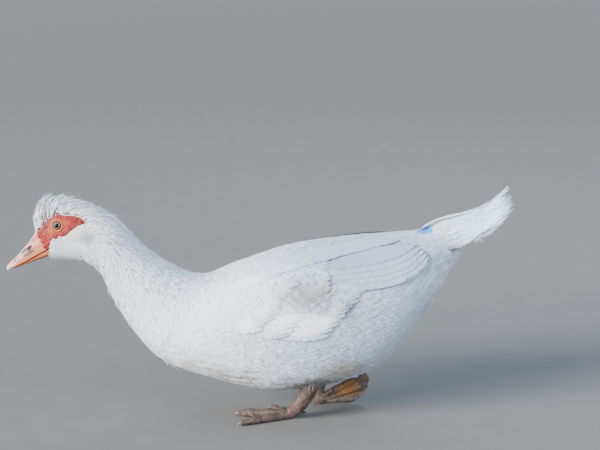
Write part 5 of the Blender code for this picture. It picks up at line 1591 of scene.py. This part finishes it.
clawMaterial = clawFinish()
nearLeg = legFinish("scaled leg skin, dusty", "#523a33", "#5d5047", "#55403a", "#251a16", "#786d68")
farLeg = legFinish("scaled leg skin, yellow", "#5c4e43", "#6d5a46", "#a9733a", "#3a291f", "#948069")
makeFoot("left", nearLeg, clawMaterial)
makeFoot("right", farLeg, clawMaterial)

for helper in (form, *tuftShapes.values()):
    bpy.data.objects.remove(helper, do_unlink=True)

studio = {
    "target": (0.056, 0.0, 0.2463),
    "distance": 1.70,
    "elevation": math.radians(12),
    "lens": 81.6,
    # name: kind, place, size (for the sun the angle it fills), power, colour
    "lights": {
        "key": ("SUN", (-2.0, -1.2, 0.9), math.radians(26), 11, "#fffaf4"),
        "side fill": ("AREA", (1.7, -1.5, 1.2), 1.6, 50, "#e4eeff"),
        "back": ("AREA", (0.4, 1.7, 1.9), 1.2, 20, "#e8f1ff"),
    },
    "world": ("#b4c8e4", 1.1),
    "floor": ("#6b6a68", "#747370", 40.0),  # its two shades and how far it reaches, in m
}


def makeStudio():
    dark, pale, reach = studio["floor"]
    bpy.ops.mesh.primitive_circle_add(vertices=96, radius=reach, fill_type="NGON", location=(0, 0, 0))
    floor = bpy.context.active_object
    floor.name = "floor"
    material, tree, shader = newMaterial("matt paper floor", Roughness=0.9)
    place = addNode(tree, "ShaderNodeTexCoord").outputs["Object"]
    fibre = addNode(tree, "ShaderNodeTexNoise", {"Vector": place, "Scale": 1 / (40 * mm), "Detail": 4.0}).outputs[0]
    layers = {0: fibre, 6: hexColour(dark), 7: hexColour(pale)}
    colour = addNode(tree, "ShaderNodeMix", layers, data_type="RGBA").outputs[2]
    tree.links.new(colour, shader.inputs["Base Color"])
    floor.data.materials.append(material)
    for name, (kind, place, size, power, code) in studio["lights"].items():
        light = bpy.data.lights.new(name, kind)
        setattr(light, "angle" if kind == "SUN" else "size", size)
        light.energy = power
        light.color = hexColour(code)[:3]
        lamp = bpy.data.objects.new(name, light)
        lamp.location = place
        lamp.rotation_euler = (Vector(place) - Vector((0, 0, 0.14))).to_track_quat("Z", "Y").to_euler()
        bpy.context.scene.collection.objects.link(lamp)
    world = bpy.data.worlds.new("studio")
    world.use_nodes = True
    background = world.node_tree.nodes["Background"]
    background.inputs[0].default_value = hexColour(studio["world"][0])
    background.inputs[1].default_value = studio["world"][1]
    bpy.context.scene.world = world
    camera = bpy.data.objects.new("camera", bpy.data.cameras.new("camera"))
    camera.data.lens = studio["lens"]
    camera.data.sensor_width = 36
    tilt = studio["elevation"]
    back = Vector((0, -math.cos(tilt), math.sin(tilt)))
    camera.location = Vector(studio["target"]) + back * studio["distance"]
    camera.rotation_euler = back.to_track_quat("Z", "Y").to_euler()
    bpy.context.scene.collection.objects.link(camera)
    bpy.context.scene.camera = camera


makeStudio()
print("studio: floor, lights and camera")
